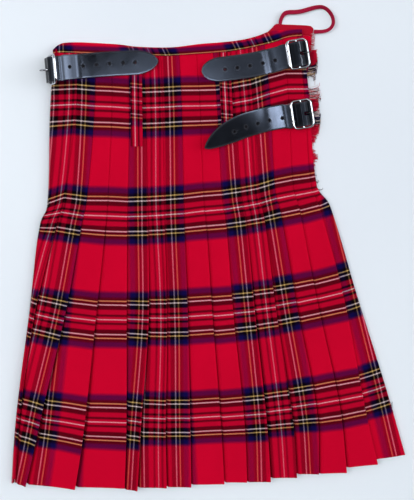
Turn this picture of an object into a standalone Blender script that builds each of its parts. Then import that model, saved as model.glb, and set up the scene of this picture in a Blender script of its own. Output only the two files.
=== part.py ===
"""A Scottish kilt laid flat on its front, with its pleated back up.

Every piece that a kilt maker cuts and sews is one solid: the pleated back, the two
apron panels, the waistband, belt loops, hanger loop, leather straps and buckles.
Sizes are in millimetres and are turned into metres when a mesh is made.
The plan is drafted with +X to the wearer's right and +Y to the waist.
"""

import bmesh
import bpy
import math
from mathutils import Matrix, Vector
from typing import NamedTuple

MM = 0.001
PLAN_SHIFT = Vector((-1.15, 20.35, 0.0))  # moves the drafting zero so the origin is under the middle

# ---- cloth -----------------------------------------------------------------------------
DROP = 612.0            # length of the cloth from waist to hem, along a crease
SEAM = 0.3              # room between pieces that touch
APRON_WALL = 1.5        # over apron, flat on the table
UNDER_WALL = 1.2        # under apron, lying on the over apron
BACK_WALL = 1.0         # one layer of the pleated back
LAYER_PITCH = 1.45      # height between the middles of two layers in a pleat
BAND_WALL = 1.2
UNDER_LEVEL = APRON_WALL + SEAM + UNDER_WALL / 2
LOW_LEVEL = APRON_WALL + UNDER_WALL + 2 * SEAM + BACK_WALL / 2     # middle of the lowest layer
HIGH_LEVEL = LOW_LEVEL + 2 * LAYER_PITCH                          # middle of a crease's top layer
BACK_TOP = HIGH_LEVEL + BACK_WALL / 2
TUCK_SHARE = 0.42       # how far an inner fold runs back, as a share of the face in front
TUCK_RANGE = (1.8, 12.0)
HEM_INSET = 6.0         # the aprons' hems stay this far inside the back's hem
LIFT_START = 250.0      # creases start to stand up this far below the waist

# levels down the cloth at which the fold table gives each crease's place
LEVELS = (0.0, 79.0, 208.0, 240.0, 369.0, 528.0, DROP)
ROWS = (0.0, 22.0, 50.0, 79.0, 150.0, 208.0, 224.0, 240.0, 300.0, 369.0, 450.0, 528.0, 572.0, DROP)


class Fold(NamedTuple):
    """One crease: its distance from the centre back at each level, and how its hem hangs."""
    waist: float
    strap: float
    fell: float
    hip: float
    knee: float
    low: float
    hem: float
    dip: float = 0.0      # extra drop of the tip at the hem
    lift: float = 0.0     # height that the crease stands up at the hem


LEFT_SIDE = Fold(-204.0, -211.9, -219.0, -230.0, -248.4, -272.5, -280.2)
RIGHT_SIDE = Fold(127.1, 136.6, 150.0, 168.0, 207.5, 257.5, 282.5)
CREASES = (
    Fold(-173.7, -176.1, -195.1, -204.5, -238.0, -265.0, -273.0, dip=2.0, lift=3.0),
    Fold(-149.7, -151.1, -164.4, -171.5, -196.9, -236.0, -258.0, dip=4.0, lift=7.0),
    Fold(-127.8, -128.3, -135.8, -139.0, -154.4, -173.5, -187.8, dip=2.0, lift=7.5),
    Fold(-105.8, -104.8, -108.5, -109.7, -111.9, -114.3, -117.8, dip=1.0, lift=3.0),
    Fold(-84.5, -82.6, -81.2, -80.8, -81.4, -94.0, -99.3, dip=5.0, lift=6.0),
    Fold(-62.6, -60.1, -58.7, -58.2, -55.9, -58.7, -57.8, dip=0.0, lift=4.0),
    Fold(-37.9, -34.3, -32.0, -31.3, -26.7, -23.9, -22.9, dip=0.5, lift=2.5),
    Fold(-15.3, -10.1, -4.8, -1.5, 7.4, 19.6, 24.4, dip=0.0, lift=2.0),
    Fold(6.7, 12.8, 20.4, 25.7, 36.6, 53.0, 56.8, dip=0.0, lift=3.0),
    Fold(29.9, 36.9, 47.0, 53.3, 66.4, 84.3, 90.6, dip=2.0, lift=3.5),
    Fold(52.6, 60.4, 70.1, 78.1, 95.5, 120.6, 127.6, dip=1.0, lift=4.0),
    Fold(74.5, 83.8, 92.5, 100.5, 123.9, 155.2, 158.8, dip=0.5, lift=3.5),
    Fold(97.8, 107.9, 117.0, 126.2, 152.3, 187.8, 198.5, dip=5.0, lift=4.0),
    Fold(117.8, 129.3, 141.0, 153.5, 188.9, 222.0, 242.4, dip=0.0, lift=2.5),
)

# ---- waist ------------------------------------------------------------------------------
# top edge of the waistband: distance from the centre back, height in the plan
WAIST_EDGE = ((-206.4, 268.6), (-200.0, 274.5), (-191.3, 278.3), (-171.5, 279.4), (-144.1, 278.3),
              (-116.5, 276.6), (-95.0, 273.9), (-48.5, 272.9), (-8.6, 277.4), (18.9, 279.5),
              (46.4, 282.7), (68.3, 288.1), (82.6, 293.4), (101.4, 295.6), (126.5, 297.0))
# lower edge of the waistband on the back
BAND_EDGE = ((-206.4, 264.5), (-196.1, 265.8), (-141.6, 264.3), (-67.2, 262.1), (-48.6, 262.1),
             (-8.6, 264.6), (24.5, 267.2), (46.5, 270.4), (68.4, 274.7), (90.4, 280.1),
             (106.8, 285.4), (126.5, 288.0))
CORNER_BULGE = 4.0                # the side of the waist stands up under the left strap
BULGE_AT, BULGE_SPREAD = (-198.0, 246.0), (28.0, 38.0)

# ---- over apron's free edge: height in the plan, edge, length of its fringe ---------------
APRON_CORNER = ((80.0, 292.5), (86.0, 298.0), (92.0, 303.7), (102.0, 303.2), (119.3, 302.6),
                (138.4, 301.0), (142.4, 297.2))
FRONT_BAND_WIDTH = 13.0


class EdgePoint(NamedTuple):
    """A place on the over apron's frayed edge."""
    height: float
    edge: float
    strand: float


FREE_EDGE = (EdgePoint(286.5, 140.0, 3.0), EdgePoint(269.0, 139.5, 3.5), EdgePoint(256.0, 140.5, 3.5),
             EdgePoint(243.0, 137.0, 6.0), EdgePoint(229.0, 133.5, 3.0), EdgePoint(212.0, 138.5, 10.0),
             EdgePoint(184.0, 140.5, 11.0), EdgePoint(163.0, 139.0, 10.5), EdgePoint(143.0, 135.0, 9.5),
             EdgePoint(128.0, 135.0, 9.5), EdgePoint(109.0, 137.0, 8.0), EdgePoint(80.0, 144.0, 7.0),
             EdgePoint(30.0, 163.0, 7.0), EdgePoint(-54.0, 194.0, 7.0), EdgePoint(-206.0, 245.0, 7.0),
             EdgePoint(-284.0, 266.0, 7.0))
FRINGE_STRANDS = 100
FRINGE_STRIP = 2.4
FRINGE_WALL = 1.0

# ---- leather and metal --------------------------------------------------------------------
STRAP_WALL = 2.5
STRAP_WIDTH = 32.0
HOLE_RADIUS = 1.7
WIRE = 1.7              # radius of a buckle's frame
BAR = 1.4               # radius of its centre bar
PRONG = 1.2
FRAME_HALF = (13.3, WIRE + SEAM + STRAP_WIDTH / 2)      # to the wire's middle, along and across
TAB_WALL = 1.0
TAB_WIDTH = 27.0
FRAME_LEVEL = BACK_TOP + 6.4                            # height of a level buckle's middle

# ---- belt loops and hanger ----------------------------------------------------------------
LOOP_WIDTH, LOOP_WALL, LOOP_LENGTH, LOOP_BOW = 15.5, 1.2, 120.0, 0.9
LOOP_PLACES = {"belt_loop_left": (-94.7, 262.0), "belt_loop_right": (25.7, 266.0)}
HANGER_RADIUS = 1.3
HANGER_ROUTE = ((97.4, 303.9, 1.35), (98.4, 309.0, 2.2), (100.6, 314.0, 3.4), (103.9, 317.4, 4.0),
                (109.0, 318.6, 4.4), (116.5, 318.8, 4.6), (124.0, 319.6, 4.6), (131.0, 321.3, 4.4),
                (138.0, 323.4, 4.2), (145.5, 325.1, 4.0), (152.5, 325.4, 3.8), (158.6, 322.8, 3.6),
                (163.6, 318.0, 3.4), (167.2, 311.5, 3.2), (168.0, 304.6, 3.0), (165.4, 299.0, 2.8),
                (160.6, 295.6, 2.5), (154.1, 294.1, 2.1), (148.0, 293.9, 1.6), (142.6, 293.9, 1.35))

FINISHES = {    # colour, roughness, metallic
    "tartan": ((0.50, 0.004, 0.020, 1.0), 0.85, 0.0),
    "red_tape": ((0.42, 0.01, 0.04, 1.0), 0.8, 0.0),
    "leather": ((0.02, 0.022, 0.03, 1.0), 0.4, 0.0),
    "chrome": ((0.75, 0.76, 0.78, 1.0), 0.18, 1.0),
}


# ---- general helpers ------------------------------------------------------------------------
def through(knots, values, at):
    """Read a smooth curve through the values at the knots."""
    if at <= knots[0]:
        return values[0]
    if at >= knots[-1]:
        return values[-1]
    i = max(n for n, knot in enumerate(knots[:-1]) if knot <= at)
    span = knots[i + 1] - knots[i]

    def slope(n):
        low, high = max(n - 1, 0), min(n + 1, len(knots) - 1)
        return (values[high] - values[low]) / (knots[high] - knots[low])

    t = (at - knots[i]) / span
    return ((2 * t**3 - 3 * t**2 + 1) * values[i] + (t**3 - 2 * t**2 + t) * span * slope(i)
            + (3 * t**2 - 2 * t**3) * values[i + 1] + (t**3 - t**2) * span * slope(i + 1))


def ease(low, high, at):
    """Rise smoothly from 0 at low to 1 at high."""
    t = min(max((at - low) / (high - low), 0.0), 1.0)
    return t * t * (3 - 2 * t)


def between(a, b, t):
    return a + (b - a) * t


def finish(name):
    """Make or find one of the object's materials."""
    material = bpy.data.materials.get(name)
    if material is None:
        colour, roughness, metallic = FINISHES[name]
        material = bpy.data.materials.new(name)
        material.use_nodes = True
        shader = material.node_tree.nodes["Principled BSDF"]
        shader.inputs["Base Color"].default_value = colour
        shader.inputs["Roughness"].default_value = roughness
        shader.inputs["Metallic"].default_value = metallic
        material.diffuse_color = colour
    return material


def collection(name):
    """Find or make a collection in the scene."""
    found = bpy.data.collections.get(name)
    if found is None:
        found = bpy.data.collections.new(name)
        bpy.context.scene.collection.children.link(found)
    return found


def add_object(name, mesh, material, home="kilt"):
    """Give a mesh, drafted in millimetres, its object at its place in the model."""
    for vertex in mesh.vertices:
        vertex.co = (vertex.co + PLAN_SHIFT) * MM
    mesh.materials.clear()
    mesh.materials.append(finish(material))
    made = bpy.data.objects.new(name, mesh)
    collection(home).objects.link(made)
    return made


def wall(name, rows, thickness, material):
    """Loft a cloth wall through rows of middle points."""
    points = [point for row in rows for point in row]
    wide = len(rows[0])
    faces = [(r * wide + c, r * wide + c + 1, (r + 1) * wide + c + 1, (r + 1) * wide + c)
             for r in range(len(rows) - 1) for c in range(wide - 1)]
    mesh = bpy.data.meshes.new(name)
    mesh.from_pydata(points, [], faces)
    made = add_object(name, mesh, material)
    shell = made.modifiers.new("cloth", "SOLIDIFY")
    shell.thickness = thickness * MM
    shell.offset = 0.0
    return made


def curve_mesh(curve, matrix=None):
    """Turn a curve into a closed mesh whose caps are welded."""
    holder = bpy.data.objects.new("holder", curve)
    bpy.context.scene.collection.objects.link(holder)
    bpy.context.view_layer.update()
    depsgraph = bpy.context.evaluated_depsgraph_get()
    mesh = bpy.data.meshes.new_from_object(holder.evaluated_get(depsgraph))
    bpy.data.objects.remove(holder)
    if matrix is not None:
        mesh.transform(matrix)
    shape = bmesh.new()
    shape.from_mesh(mesh)
    bmesh.ops.remove_doubles(shape, verts=shape.verts, dist=0.001)
    bmesh.ops.recalc_face_normals(shape, faces=shape.faces)
    shape.to_mesh(mesh)
    shape.free()
    return mesh


def flat_shape(outline, thickness, holes=()):
    """Cut a flat piece, centred on its plane, from an outline and its holes."""
    curve = bpy.data.curves.new("outline", "CURVE")
    curve.dimensions = "2D"
    curve.fill_mode = "BOTH"
    curve.extrude = thickness / 2
    for loop in (outline, *holes):
        spline = curve.splines.new("POLY")
        spline.points.add(len(loop) - 1)
        for point, (x, y) in zip(spline.points, loop):
            point.co = (x, y, 0.0, 1.0)
        spline.use_cyclic_u = True
    return curve_mesh(curve)


def tube(points, radius, closed=False):
    """Run a round wire through the points."""
    curve = bpy.data.curves.new("wire", "CURVE")
    curve.dimensions = "3D"
    curve.bevel_depth = radius
    curve.bevel_resolution = 2
    curve.use_fill_caps = True
    spline = curve.splines.new("POLY")
    spline.points.add(len(points) - 1)
    for point, place in zip(spline.points, points):
        point.co = (*place, 1.0)
    spline.use_cyclic_u = closed
    return curve_mesh(curve)


def boolean(target, cutter_mesh, operation):
    """Join a mesh to an object, or cut it away."""
    cutter = add_object(target.name + "_" + operation.lower(), cutter_mesh, "chrome", home="cutters")
    cutter.hide_render = True
    cutter.display_type = "WIRE"
    step = target.modifiers.new(operation.lower(), "BOOLEAN")
    step.operation = operation
    step.object = cutter


# ---- the pleated back -----------------------------------------------------------------------
def waist_edge(x):
    return through([p[0] for p in WAIST_EDGE], [p[1] for p in WAIST_EDGE], x)


def band_edge(x):
    return through([p[0] for p in BAND_EDGE], [p[1] for p in BAND_EDGE], x)


def below_band(x, y):
    """Keep a point of the back inside the strip that binds its top edge."""
    return min(y, waist_edge(x) - 2.4)


class Thread:
    """A line of the cloth's own length from the waist to the hem, such as a crease."""
    STEP = 6.0

    def __init__(self, fold):
        self.places = fold[:len(LEVELS)]
        self.dip, self.lift = fold.dip, fold.lift
        self.heights = [waist_edge(self.x(0.0)) - 1.5]
        for n in range(int(DROP / self.STEP)):
            lean = self.lean((n + 0.5) * self.STEP)
            self.heights.append(self.heights[-1] - self.STEP * math.sqrt(1 - lean * lean))

    def x(self, down):
        return through(LEVELS, self.places, down)

    def lean(self, down):
        """Sideways travel for each millimetre down the cloth."""
        return (self.x(down + 3.0) - self.x(down - 3.0)) / 6.0

    def y(self, down):
        n = min(int(down / self.STEP), len(self.heights) - 2)
        return between(self.heights[n], self.heights[n + 1], down / self.STEP - n)

    def weft(self, x, down):
        """Height in the plan of the cloth's cross thread where it passes x."""
        lean = self.lean(down)
        return self.y(down) + (x - self.x(down)) * lean / math.sqrt(1 - lean * lean)


SIDES = (Thread(LEFT_SIDE), Thread(RIGHT_SIDE))
THREADS = [Thread(fold) for fold in CREASES]


def bulge(x, y):
    """Extra height of the waist's left corner, where the strap goes round."""
    across = (x - BULGE_AT[0]) / BULGE_SPREAD[0]
    along = (y - BULGE_AT[1]) / BULGE_SPREAD[1]
    return CORNER_BULGE * math.exp(-across * across - along * along)


def side_roll(edge, low, high, outward):
    """Stations of the half round in which the cloth turns under at a side."""
    radius = (high - low) / 2
    centre = edge - outward * (radius + BACK_WALL / 2)
    turn = [(centre + outward * radius * math.sin(a), (low + high) / 2 - radius * math.cos(a))
            for a in (math.radians(d) for d in (0, 45, 90, 135, 180))]
    return [(centre - outward * 1.5, low)] + turn


def pleat_row(down):
    """Stations of the pleated wall at one level of the cloth, left to right."""
    left, right = (side.x(down) for side in SIDES)
    radius = LAYER_PITCH / 2
    row = []

    def put(thread, x, z, blend=None, share=0.5):
        y = thread.weft(x, down)
        if blend is not None:
            y = between(y, blend.weft(x, down), share)
        y = below_band(x, y)
        row.append((x, y - thread.dip * ease(480.0, DROP, down), z + bulge(x, y)))

    roll = side_roll(left, APRON_WALL / 2, LOW_LEVEL, -1)
    for x, z in roll:
        y = SIDES[0].weft(x, down)
        share = (z - roll[0][1]) / (LOW_LEVEL - roll[0][1])
        row.append((x, below_band(x, y), z + share * bulge(x, y)))
    start = roll[-1][0]
    before = None
    for thread in THREADS:
        crease = thread.x(down)
        lift = thread.lift * ease(LIFT_START, DROP, down)
        tuck = min(max((crease - start) * TUCK_SHARE, TUCK_RANGE[0]), TUCK_RANGE[1])
        inner = crease - tuck
        if before is not None:
            put(before, before_inner + radius, LOW_LEVEL, thread, 0.1)
            put(thread, start + radius, LOW_LEVEL)
        put(thread, inner - 0.5, HIGH_LEVEL + 0.3 * lift)
        put(thread, crease - radius, HIGH_LEVEL + lift)
        put(thread, crease, HIGH_LEVEL + lift - radius)
        put(thread, crease - radius, HIGH_LEVEL + lift - LAYER_PITCH)
        put(thread, inner + radius, LOW_LEVEL + LAYER_PITCH)
        put(thread, inner, LOW_LEVEL + radius)
        before, before_inner, start = thread, inner, crease
    side = SIDES[1]
    put(before, before_inner + radius, LOW_LEVEL, side, 0.1)
    put(side, start + radius, LOW_LEVEL)
    put(side, between(start, right, 0.5), LOW_LEVEL + 0.6)
    for x, z in reversed(side_roll(right, UNDER_LEVEL, LOW_LEVEL, 1)):
        put(side, x, z)
    return row


def build_back():
    wall("pleated_back", [pleat_row(down) for down in ROWS], BACK_WALL, "tartan")


# ---- aprons and waistband ---------------------------------------------------------------------
def hem_line(inset):
    """Points along the hem from left to right, moved up inside the cloth."""
    lines = [SIDES[0], *THREADS, SIDES[1]]
    return [(line.x(DROP - inset), line.y(DROP - inset)) for line in lines]


def side_line(side, inward, start, inset):
    """Points down a side edge, moved in along the cross threads."""
    downs = [start, *ROWS[1:-1], DROP - inset]
    return [(side.x(d) + inward, side.weft(side.x(d) + inward, d)) for d in downs]


def fringe_heights():
    """Heights that part the frayed edge into strands and the gaps between them."""
    cells = 2 * FRINGE_STRANDS + 1
    return [between(FREE_EDGE[0].height, FREE_EDGE[-1].height, n / cells) for n in range(cells + 1)]


def free_edge(y):
    """Place of the over apron's frayed edge at a height of the plan."""
    return through([-p.height for p in FREE_EDGE], [p.edge for p in FREE_EDGE], -y)


def front_top(x):
    """Top edge of the over apron's waistband, hidden under the back but for one corner."""
    if x >= APRON_CORNER[0][0]:
        return through([p[0] for p in APRON_CORNER], [p[1] for p in APRON_CORNER], x)
    return waist_edge(x) - 2.5


def front_outline_row(low_x, high_x, below):
    """Points along the over apron's top from left to right."""
    xs = [x for x in (-190.0, -165.0, -120.0, -60.0, -10.0, 30.0, 60.0) if low_x < x < high_x]
    xs = [low_x] + xs + [x for x, _ in APRON_CORNER if x < high_x] + [high_x]
    return [(x, front_top(x) - below) for x in xs]


def build_aprons():
    """The two flat panels, and the front band along the over apron's top."""
    room = 3.0 + 2 * SEAM + LOW_LEVEL / 2
    left_top = SIDES[0].x(0.0) + room
    free = [(free_edge(y), y) for y in fringe_heights()[::2]]
    top = front_outline_row(left_top, free[0][0], FRONT_BAND_WIDTH + SEAM)
    down_left = side_line(SIDES[0], room, 20.0, HEM_INSET)
    hem = [p for p in hem_line(HEM_INSET) if down_left[-1][0] + 5 < p[0] < free[-1][0] - 5]
    outline = top + free[1:] + hem[::-1] + down_left[::-1]
    over = flat_shape(outline, APRON_WALL)
    over.transform(Matrix.Translation((0, 0, APRON_WALL / 2)))
    add_object("over_apron", over, "tartan")

    band_top = front_outline_row(left_top, APRON_CORNER[-1][0], 0.0)
    band_low = front_outline_row(left_top, free[0][0], FRONT_BAND_WIDTH)
    band = flat_shape(band_top + band_low[::-1], APRON_WALL)
    band.transform(Matrix.Translation((0, 0, APRON_WALL / 2)))
    add_object("waistband_front", band, "tartan")

    roll = UNDER_WALL + 1.9 + SEAM
    right_side = side_line(SIDES[1], -roll, 8.0, HEM_INSET)
    left_side = side_line(SIDES[0], 16.0, 8.0, HEM_INSET)
    top_edge = [(x, waist_edge(x) - 9.0) for x in (-150.0, -100.0, -50.0, 0.0, 40.0, 80.0)]
    hem = [p for p in hem_line(HEM_INSET) if left_side[-1][0] + 5 < p[0] < right_side[-1][0] - 5]
    under = flat_shape(top_edge + right_side + hem[::-1] + left_side[::-1], UNDER_WALL)
    under.transform(Matrix.Translation((0, 0, UNDER_LEVEL)))
    add_object("under_apron", under, "tartan")


def build_waistband():
    """The strip bound over the back's top edge; it turns down at both ends."""
    level = BACK_TOP + SEAM + BAND_WALL / 2
    rows = []
    for x in [between(-204.6, 118.6, n / 22) for n in range(23)] + [122.6, 125.8]:
        top, low = waist_edge(x), band_edge(x)
        drop_left = (HIGH_LEVEL - LOW_LEVEL) * (1 - ease(-206.0, -190.0, x))
        drop_right = (HIGH_LEVEL - LOW_LEVEL - 0.7) * ease(119.0, 122.5, x)
        z = level - drop_left - drop_right
        lift = bulge(x, low)
        flat = top - 2.4
        rows.append([(x, low, z + lift), (x, between(low, flat, 0.5), z + bulge(x, between(low, flat, 0.5))),
                     (x, flat, z + bulge(x, flat)), (x, top - 1.0, z - 0.5 + bulge(x, top)),
                     (x, top - 0.6, between(z - 0.5, LOW_LEVEL, 0.45) + 0.5 * bulge(x, top)),
                     (x, top - 0.6, LOW_LEVEL - 0.4)])
    wall("waistband_back", rows, BAND_WALL, "tartan")


def build_belt_loops():
    """Two upright strips, sewn at both ends and slightly bowed between."""
    for name, (x, top) in LOOP_PLACES.items():
        rows = []
        for n in range(9):
            share = n / 8
            y = top - LOOP_LENGTH * share
            z = BACK_TOP + SEAM + LOOP_WALL / 2 + LOOP_BOW * ease(0.25, 0.6, share) * (1 - ease(0.75, 1.0, share))
            rows.append([(x + side * LOOP_WIDTH / 2, y, z) for side in (-1, 0, 1)])
        wall(name, rows, LOOP_WALL, "tartan")


def build_fringe():
    """The over apron's frayed edge: a narrow strip whose side is drawn out into strands."""
    z0 = SEAM
    shape = bmesh.new()
    rings = []
    for y in fringe_heights():
        x = free_edge(y) + SEAM
        rings.append([shape.verts.new(p) for p in ((x, y, z0), (x + FRINGE_STRIP, y, z0),
                                                   (x + FRINGE_STRIP, y, z0 + FRINGE_WALL), (x, y, z0 + FRINGE_WALL))])
    outer = []
    for n in range(len(rings) - 1):
        for side in range(4):
            a, b = rings[n], rings[n + 1]
            face = shape.faces.new((a[side], a[(side + 1) % 4], b[(side + 1) % 4], b[side]))
            if side == 1 and n % 2:
                outer.append((n, face))
    shape.faces.new(rings[0][::-1])
    shape.faces.new(rings[-1])
    for n, face in outer:
        middle = face.calc_center_median()
        length = through([-p.height for p in FREE_EDGE], [p.strand for p in FREE_EDGE], -middle.y)
        length *= 1.0 + 0.16 * math.sin(n * 2.4)
        sway = 0.8 * math.sin(n * 1.7)
        for share, slim in ((0.5, 0.8), (1.0, 0.55)):
            face = bmesh.ops.extrude_discrete_faces(shape, faces=[face])["faces"][0]
            centre = face.calc_center_median()
            goal = Vector((middle.x + length * share, middle.y + sway * share * share, middle.z - 0.1 * share))
            for vertex in face.verts:
                vertex.co = goal + (vertex.co - centre) * slim
    bmesh.ops.recalc_face_normals(shape, faces=shape.faces)
    mesh = bpy.data.meshes.new("apron_fringe")
    shape.to_mesh(mesh)
    shape.free()
    add_object("apron_fringe", mesh, "tartan")


def build_hanger():
    """A narrow tape that leaves the apron's corner and goes back into it."""
    count = 36
    knots = list(range(len(HANGER_ROUTE)))
    route = [tuple(through(knots, [p[axis] for p in HANGER_ROUTE], (len(knots) - 1) * n / count)
                   for axis in range(3)) for n in range(count + 1)]
    add_object("hanger_loop", tube(route, HANGER_RADIUS), "red_tape")


# ---- straps and buckles -------------------------------------------------------------------------
class Station(NamedTuple):
    """A place on a strap's middle, and the way the strap heads there, in degrees."""
    x: float
    y: float
    rise: float           # above the pleated back
    heading: float


class StrapPlan(NamedTuple):
    """One strap from its tip to its buckle."""
    tail: tuple           # stations from the tip to just before the buckle
    buckle: tuple         # centre of the buckle's bar
    heading: float        # from the tip to the buckle's outer bar, degrees in the plan
    tilt: float           # how far the outer bar is turned down, degrees
    tip_length: float
    tip_shape: float      # 2 is round, more is pointed
    holes: tuple          # distances of the holes from the tip
    prong: tuple          # the prong's route in the buckle's own plane
    root: tuple           # the strap's last stations in the buckle's own plane
    hole_line: float = 0.0    # how far the holes are off the strap's middle


LYING_PRONG = ((-3.05, 0.65), (-2.35, -2.05), (0.0, -3.17), (2.35, -2.05), (3.35, 0.4), (5.1, 2.5),
               (7.2, 3.5), (13.3, 3.3), (17.6, 2.6))
LOOSE_PRONG = ((-3.05, 0.65), (-2.35, -2.05), (0.0, -3.17), (2.35, -2.05), (3.35, 1.0), (3.7, 5.0),
               (4.9, 10.0), (7.0, 15.0))
SIDE_ROOT = ((7.7, 0.2), (11.4, -3.3), (14.2, -4.3), (15.5, -6.6), (15.9, -11.2))
WRAPPED_ROOT = ((8.0, 3.8), (13.3, 3.7), (16.0, 2.7), (16.9, 0.8))
OVER_BAR = ((-19.8, -3.5), (-13.3, -3.5), (-9.6, -3.2), (-5.9, 0.5), (-3.2, 3.5), (0.0, 4.3),
            (3.2, 3.7))
BAR_STATION = 5                  # the row of that list which lies over the centre bar
PRONG_SLOT = (1.8, 10.1)          # the stretched hole that a fastened prong comes up through

STRAPS = {
    "waist_right": StrapPlan(
        tail=(Station(-7.1, 241.5, 2.9, 4.0), Station(16.0, 243.6, 3.2, 6.0), Station(40.0, 246.5, 3.3, 8.0),
              Station(57.8, 249.2, 3.3, 10.0), Station(74.5, 252.6, 3.1, 12.0), Station(88.0, 255.8, 2.9, 13.0)),
        buckle=(120.1, 263.2), heading=10.0, tilt=0.0, tip_length=27.0, tip_shape=1.95,
        holes=(31.0, 47.5, 64.5, 82.0, 98.5), prong=LYING_PRONG, root=SIDE_ROOT, hole_line=-0.8),
    "hip_right": StrapPlan(
        tail=(Station(-3.0, 139.5, 8.5, 36.0), Station(8.4, 147.7, 7.0, 34.0), Station(20.0, 155.2, 5.6, 29.0),
              Station(34.0, 162.6, 4.5, 25.0), Station(48.0, 168.8, 3.6, 20.0), Station(64.0, 173.8, 3.2, 16.0),
              Station(80.0, 178.0, 3.0, 13.5), Station(97.0, 181.3, 2.9, 11.0)),
        buckle=(127.0, 184.7), heading=9.5, tilt=0.0, tip_length=57.0, tip_shape=1.43,
        holes=(46.0, 63.0, 79.5, 96.0, 113.5), prong=LYING_PRONG, root=SIDE_ROOT, hole_line=-2.4),
    "waist_left": StrapPlan(
        tail=(Station(-64.6, 254.7, 3.3, 184.0), Station(-90.0, 252.9, 3.3, 183.0),
              Station(-120.0, 251.4, 3.3, 183.0), Station(-148.0, 249.6, 3.6, 184.0),
              Station(-163.0, 248.3, 4.8, 184.5), Station(-173.2, 247.4, 7.6, 184.5),
              Station(-181.0, 246.6, 12.8, 184.0), Station(-187.4, 245.6, 19.0, 184.0)),
        buckle=(-205.0, 242.8), heading=184.0, tilt=62.0, tip_length=32.5, tip_shape=1.6,
        holes=(31.0, 47.0, 65.0, 82.0, 100.5, 119.0), prong=LOOSE_PRONG, root=WRAPPED_ROOT),
}


def buckle_frame(plan):
    """Matrix from a buckle's own plane (along, across, out) to the draft."""
    heading, tilt = math.radians(plan.heading), math.radians(plan.tilt)
    level = FRAME_LEVEL
    if plan.tilt:
        level = WIRE + 4.0 + FRAME_HALF[0] * math.sin(tilt)
    along = Vector((math.cos(heading) * math.cos(tilt), math.sin(heading) * math.cos(tilt), -math.sin(tilt)))
    across = Vector((-math.sin(heading), math.cos(heading), 0.0))
    out = along.cross(across)
    matrix = Matrix((along, across, out)).transposed().to_4x4()
    matrix.translation = Vector((*plan.buckle, level))
    return matrix


def strap_stations(plan):
    """The strap's middle from tip to root as (place, across) pairs."""
    pairs = []
    for station in plan.tail:
        heading = math.radians(station.heading)
        pairs.append((Vector((station.x, station.y, BACK_TOP + station.rise)), Vector((-math.sin(heading), math.cos(heading), 0.0))))
    frame = buckle_frame(plan)
    across = frame.to_3x3() @ Vector((0, 1, 0))
    pairs += [(frame @ Vector((a, 0.0, n)), across) for a, n in OVER_BAR + plan.root]
    return pairs


def circle(x, y, radius, count=10):
    return [(x + radius * math.cos(math.tau * i / count), y + radius * math.sin(math.tau * i / count))
            for i in range(count)]


def slot(low, high, radius):
    """A long hole with round ends."""
    ends = ((high - radius, -90.0), (low + radius, 90.0))
    return [(x + radius * math.cos(math.radians(a + turn)), radius * math.sin(math.radians(a + turn)))
            for x, a in ends for turn in (0.0, 45.0, 90.0, 135.0, 180.0)]


def laid(mesh, pairs, reach):
    """Bend a mesh that was drafted flat (along the strap, across, up) over the strap's stations."""
    ups = []
    for n, (_, across) in enumerate(pairs):
        runs = [(pairs[m + 1][0] - pairs[m][0]).normalized() for m in (n - 1, n) if 0 <= m < len(pairs) - 1]
        normals = [run.cross(across).normalized() for run in runs]
        middle = sum(normals, Vector()).normalized()
        ups.append(middle / max(middle.dot(normals[0]), 0.5))
    shape = bmesh.new()
    shape.from_mesh(mesh)
    bmesh.ops.dissolve_limit(shape, angle_limit=0.01, verts=shape.verts, edges=shape.edges)
    for s in reach[1:-1]:
        bmesh.ops.bisect_plane(shape, geom=shape.verts[:] + shape.edges[:] + shape.faces[:], dist=0.001,
                               plane_co=(s, 0, 0), plane_no=(1, 0, 0))
    for vertex in shape.verts:
        s, w, h = vertex.co
        n = max(i for i, r in enumerate(reach[:-1]) if r <= s + 1e-3)
        t = (s - reach[n]) / (reach[n + 1] - reach[n])
        place = pairs[n][0].lerp(pairs[n + 1][0], t)
        vertex.co = place + pairs[n][1].lerp(pairs[n + 1][1], t) * w + ups[n].lerp(ups[n + 1], t) * h
    bmesh.ops.triangulate(shape, faces=shape.faces)
    shape.to_mesh(mesh)
    shape.free()
    return mesh


def build_strap(name, plan):
    """Cut the strap flat, lay it along its stations and punch its holes."""
    pairs = strap_stations(plan)
    reach = [0.0]
    for (a, _), (b, _) in zip(pairs, pairs[1:]):
        reach.append(reach[-1] + (b - a).length)
    half = STRAP_WIDTH / 2
    tip = [(plan.tip_length * (1 - math.cos(a)), half * math.sin(a) ** (2.0 / plan.tip_shape))
           for a in (math.radians(d) for d in (0, 12, 25, 40, 55, 72, 90))]
    outline = tip + [(reach[-1], half), (reach[-1], -half)] + [(s, -w) for s, w in tip[:0:-1]]
    bar = reach[len(plan.tail) + BAR_STATION]
    if plan.prong is LYING_PRONG:
        used = slot(bar + PRONG_SLOT[0], bar + PRONG_SLOT[1] + 2.0, HOLE_RADIUS)
    else:
        used = circle(bar + 3.6, 0.0, HOLE_RADIUS)
    holes = [circle(s, plan.hole_line, HOLE_RADIUS) for s in plan.holes]
    made = add_object("strap_" + name, laid(flat_shape(outline, STRAP_WALL), pairs, reach), "leather")
    boolean(made, laid(flat_shape(used, 2 * STRAP_WALL, holes), pairs, reach), "DIFFERENCE")


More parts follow.
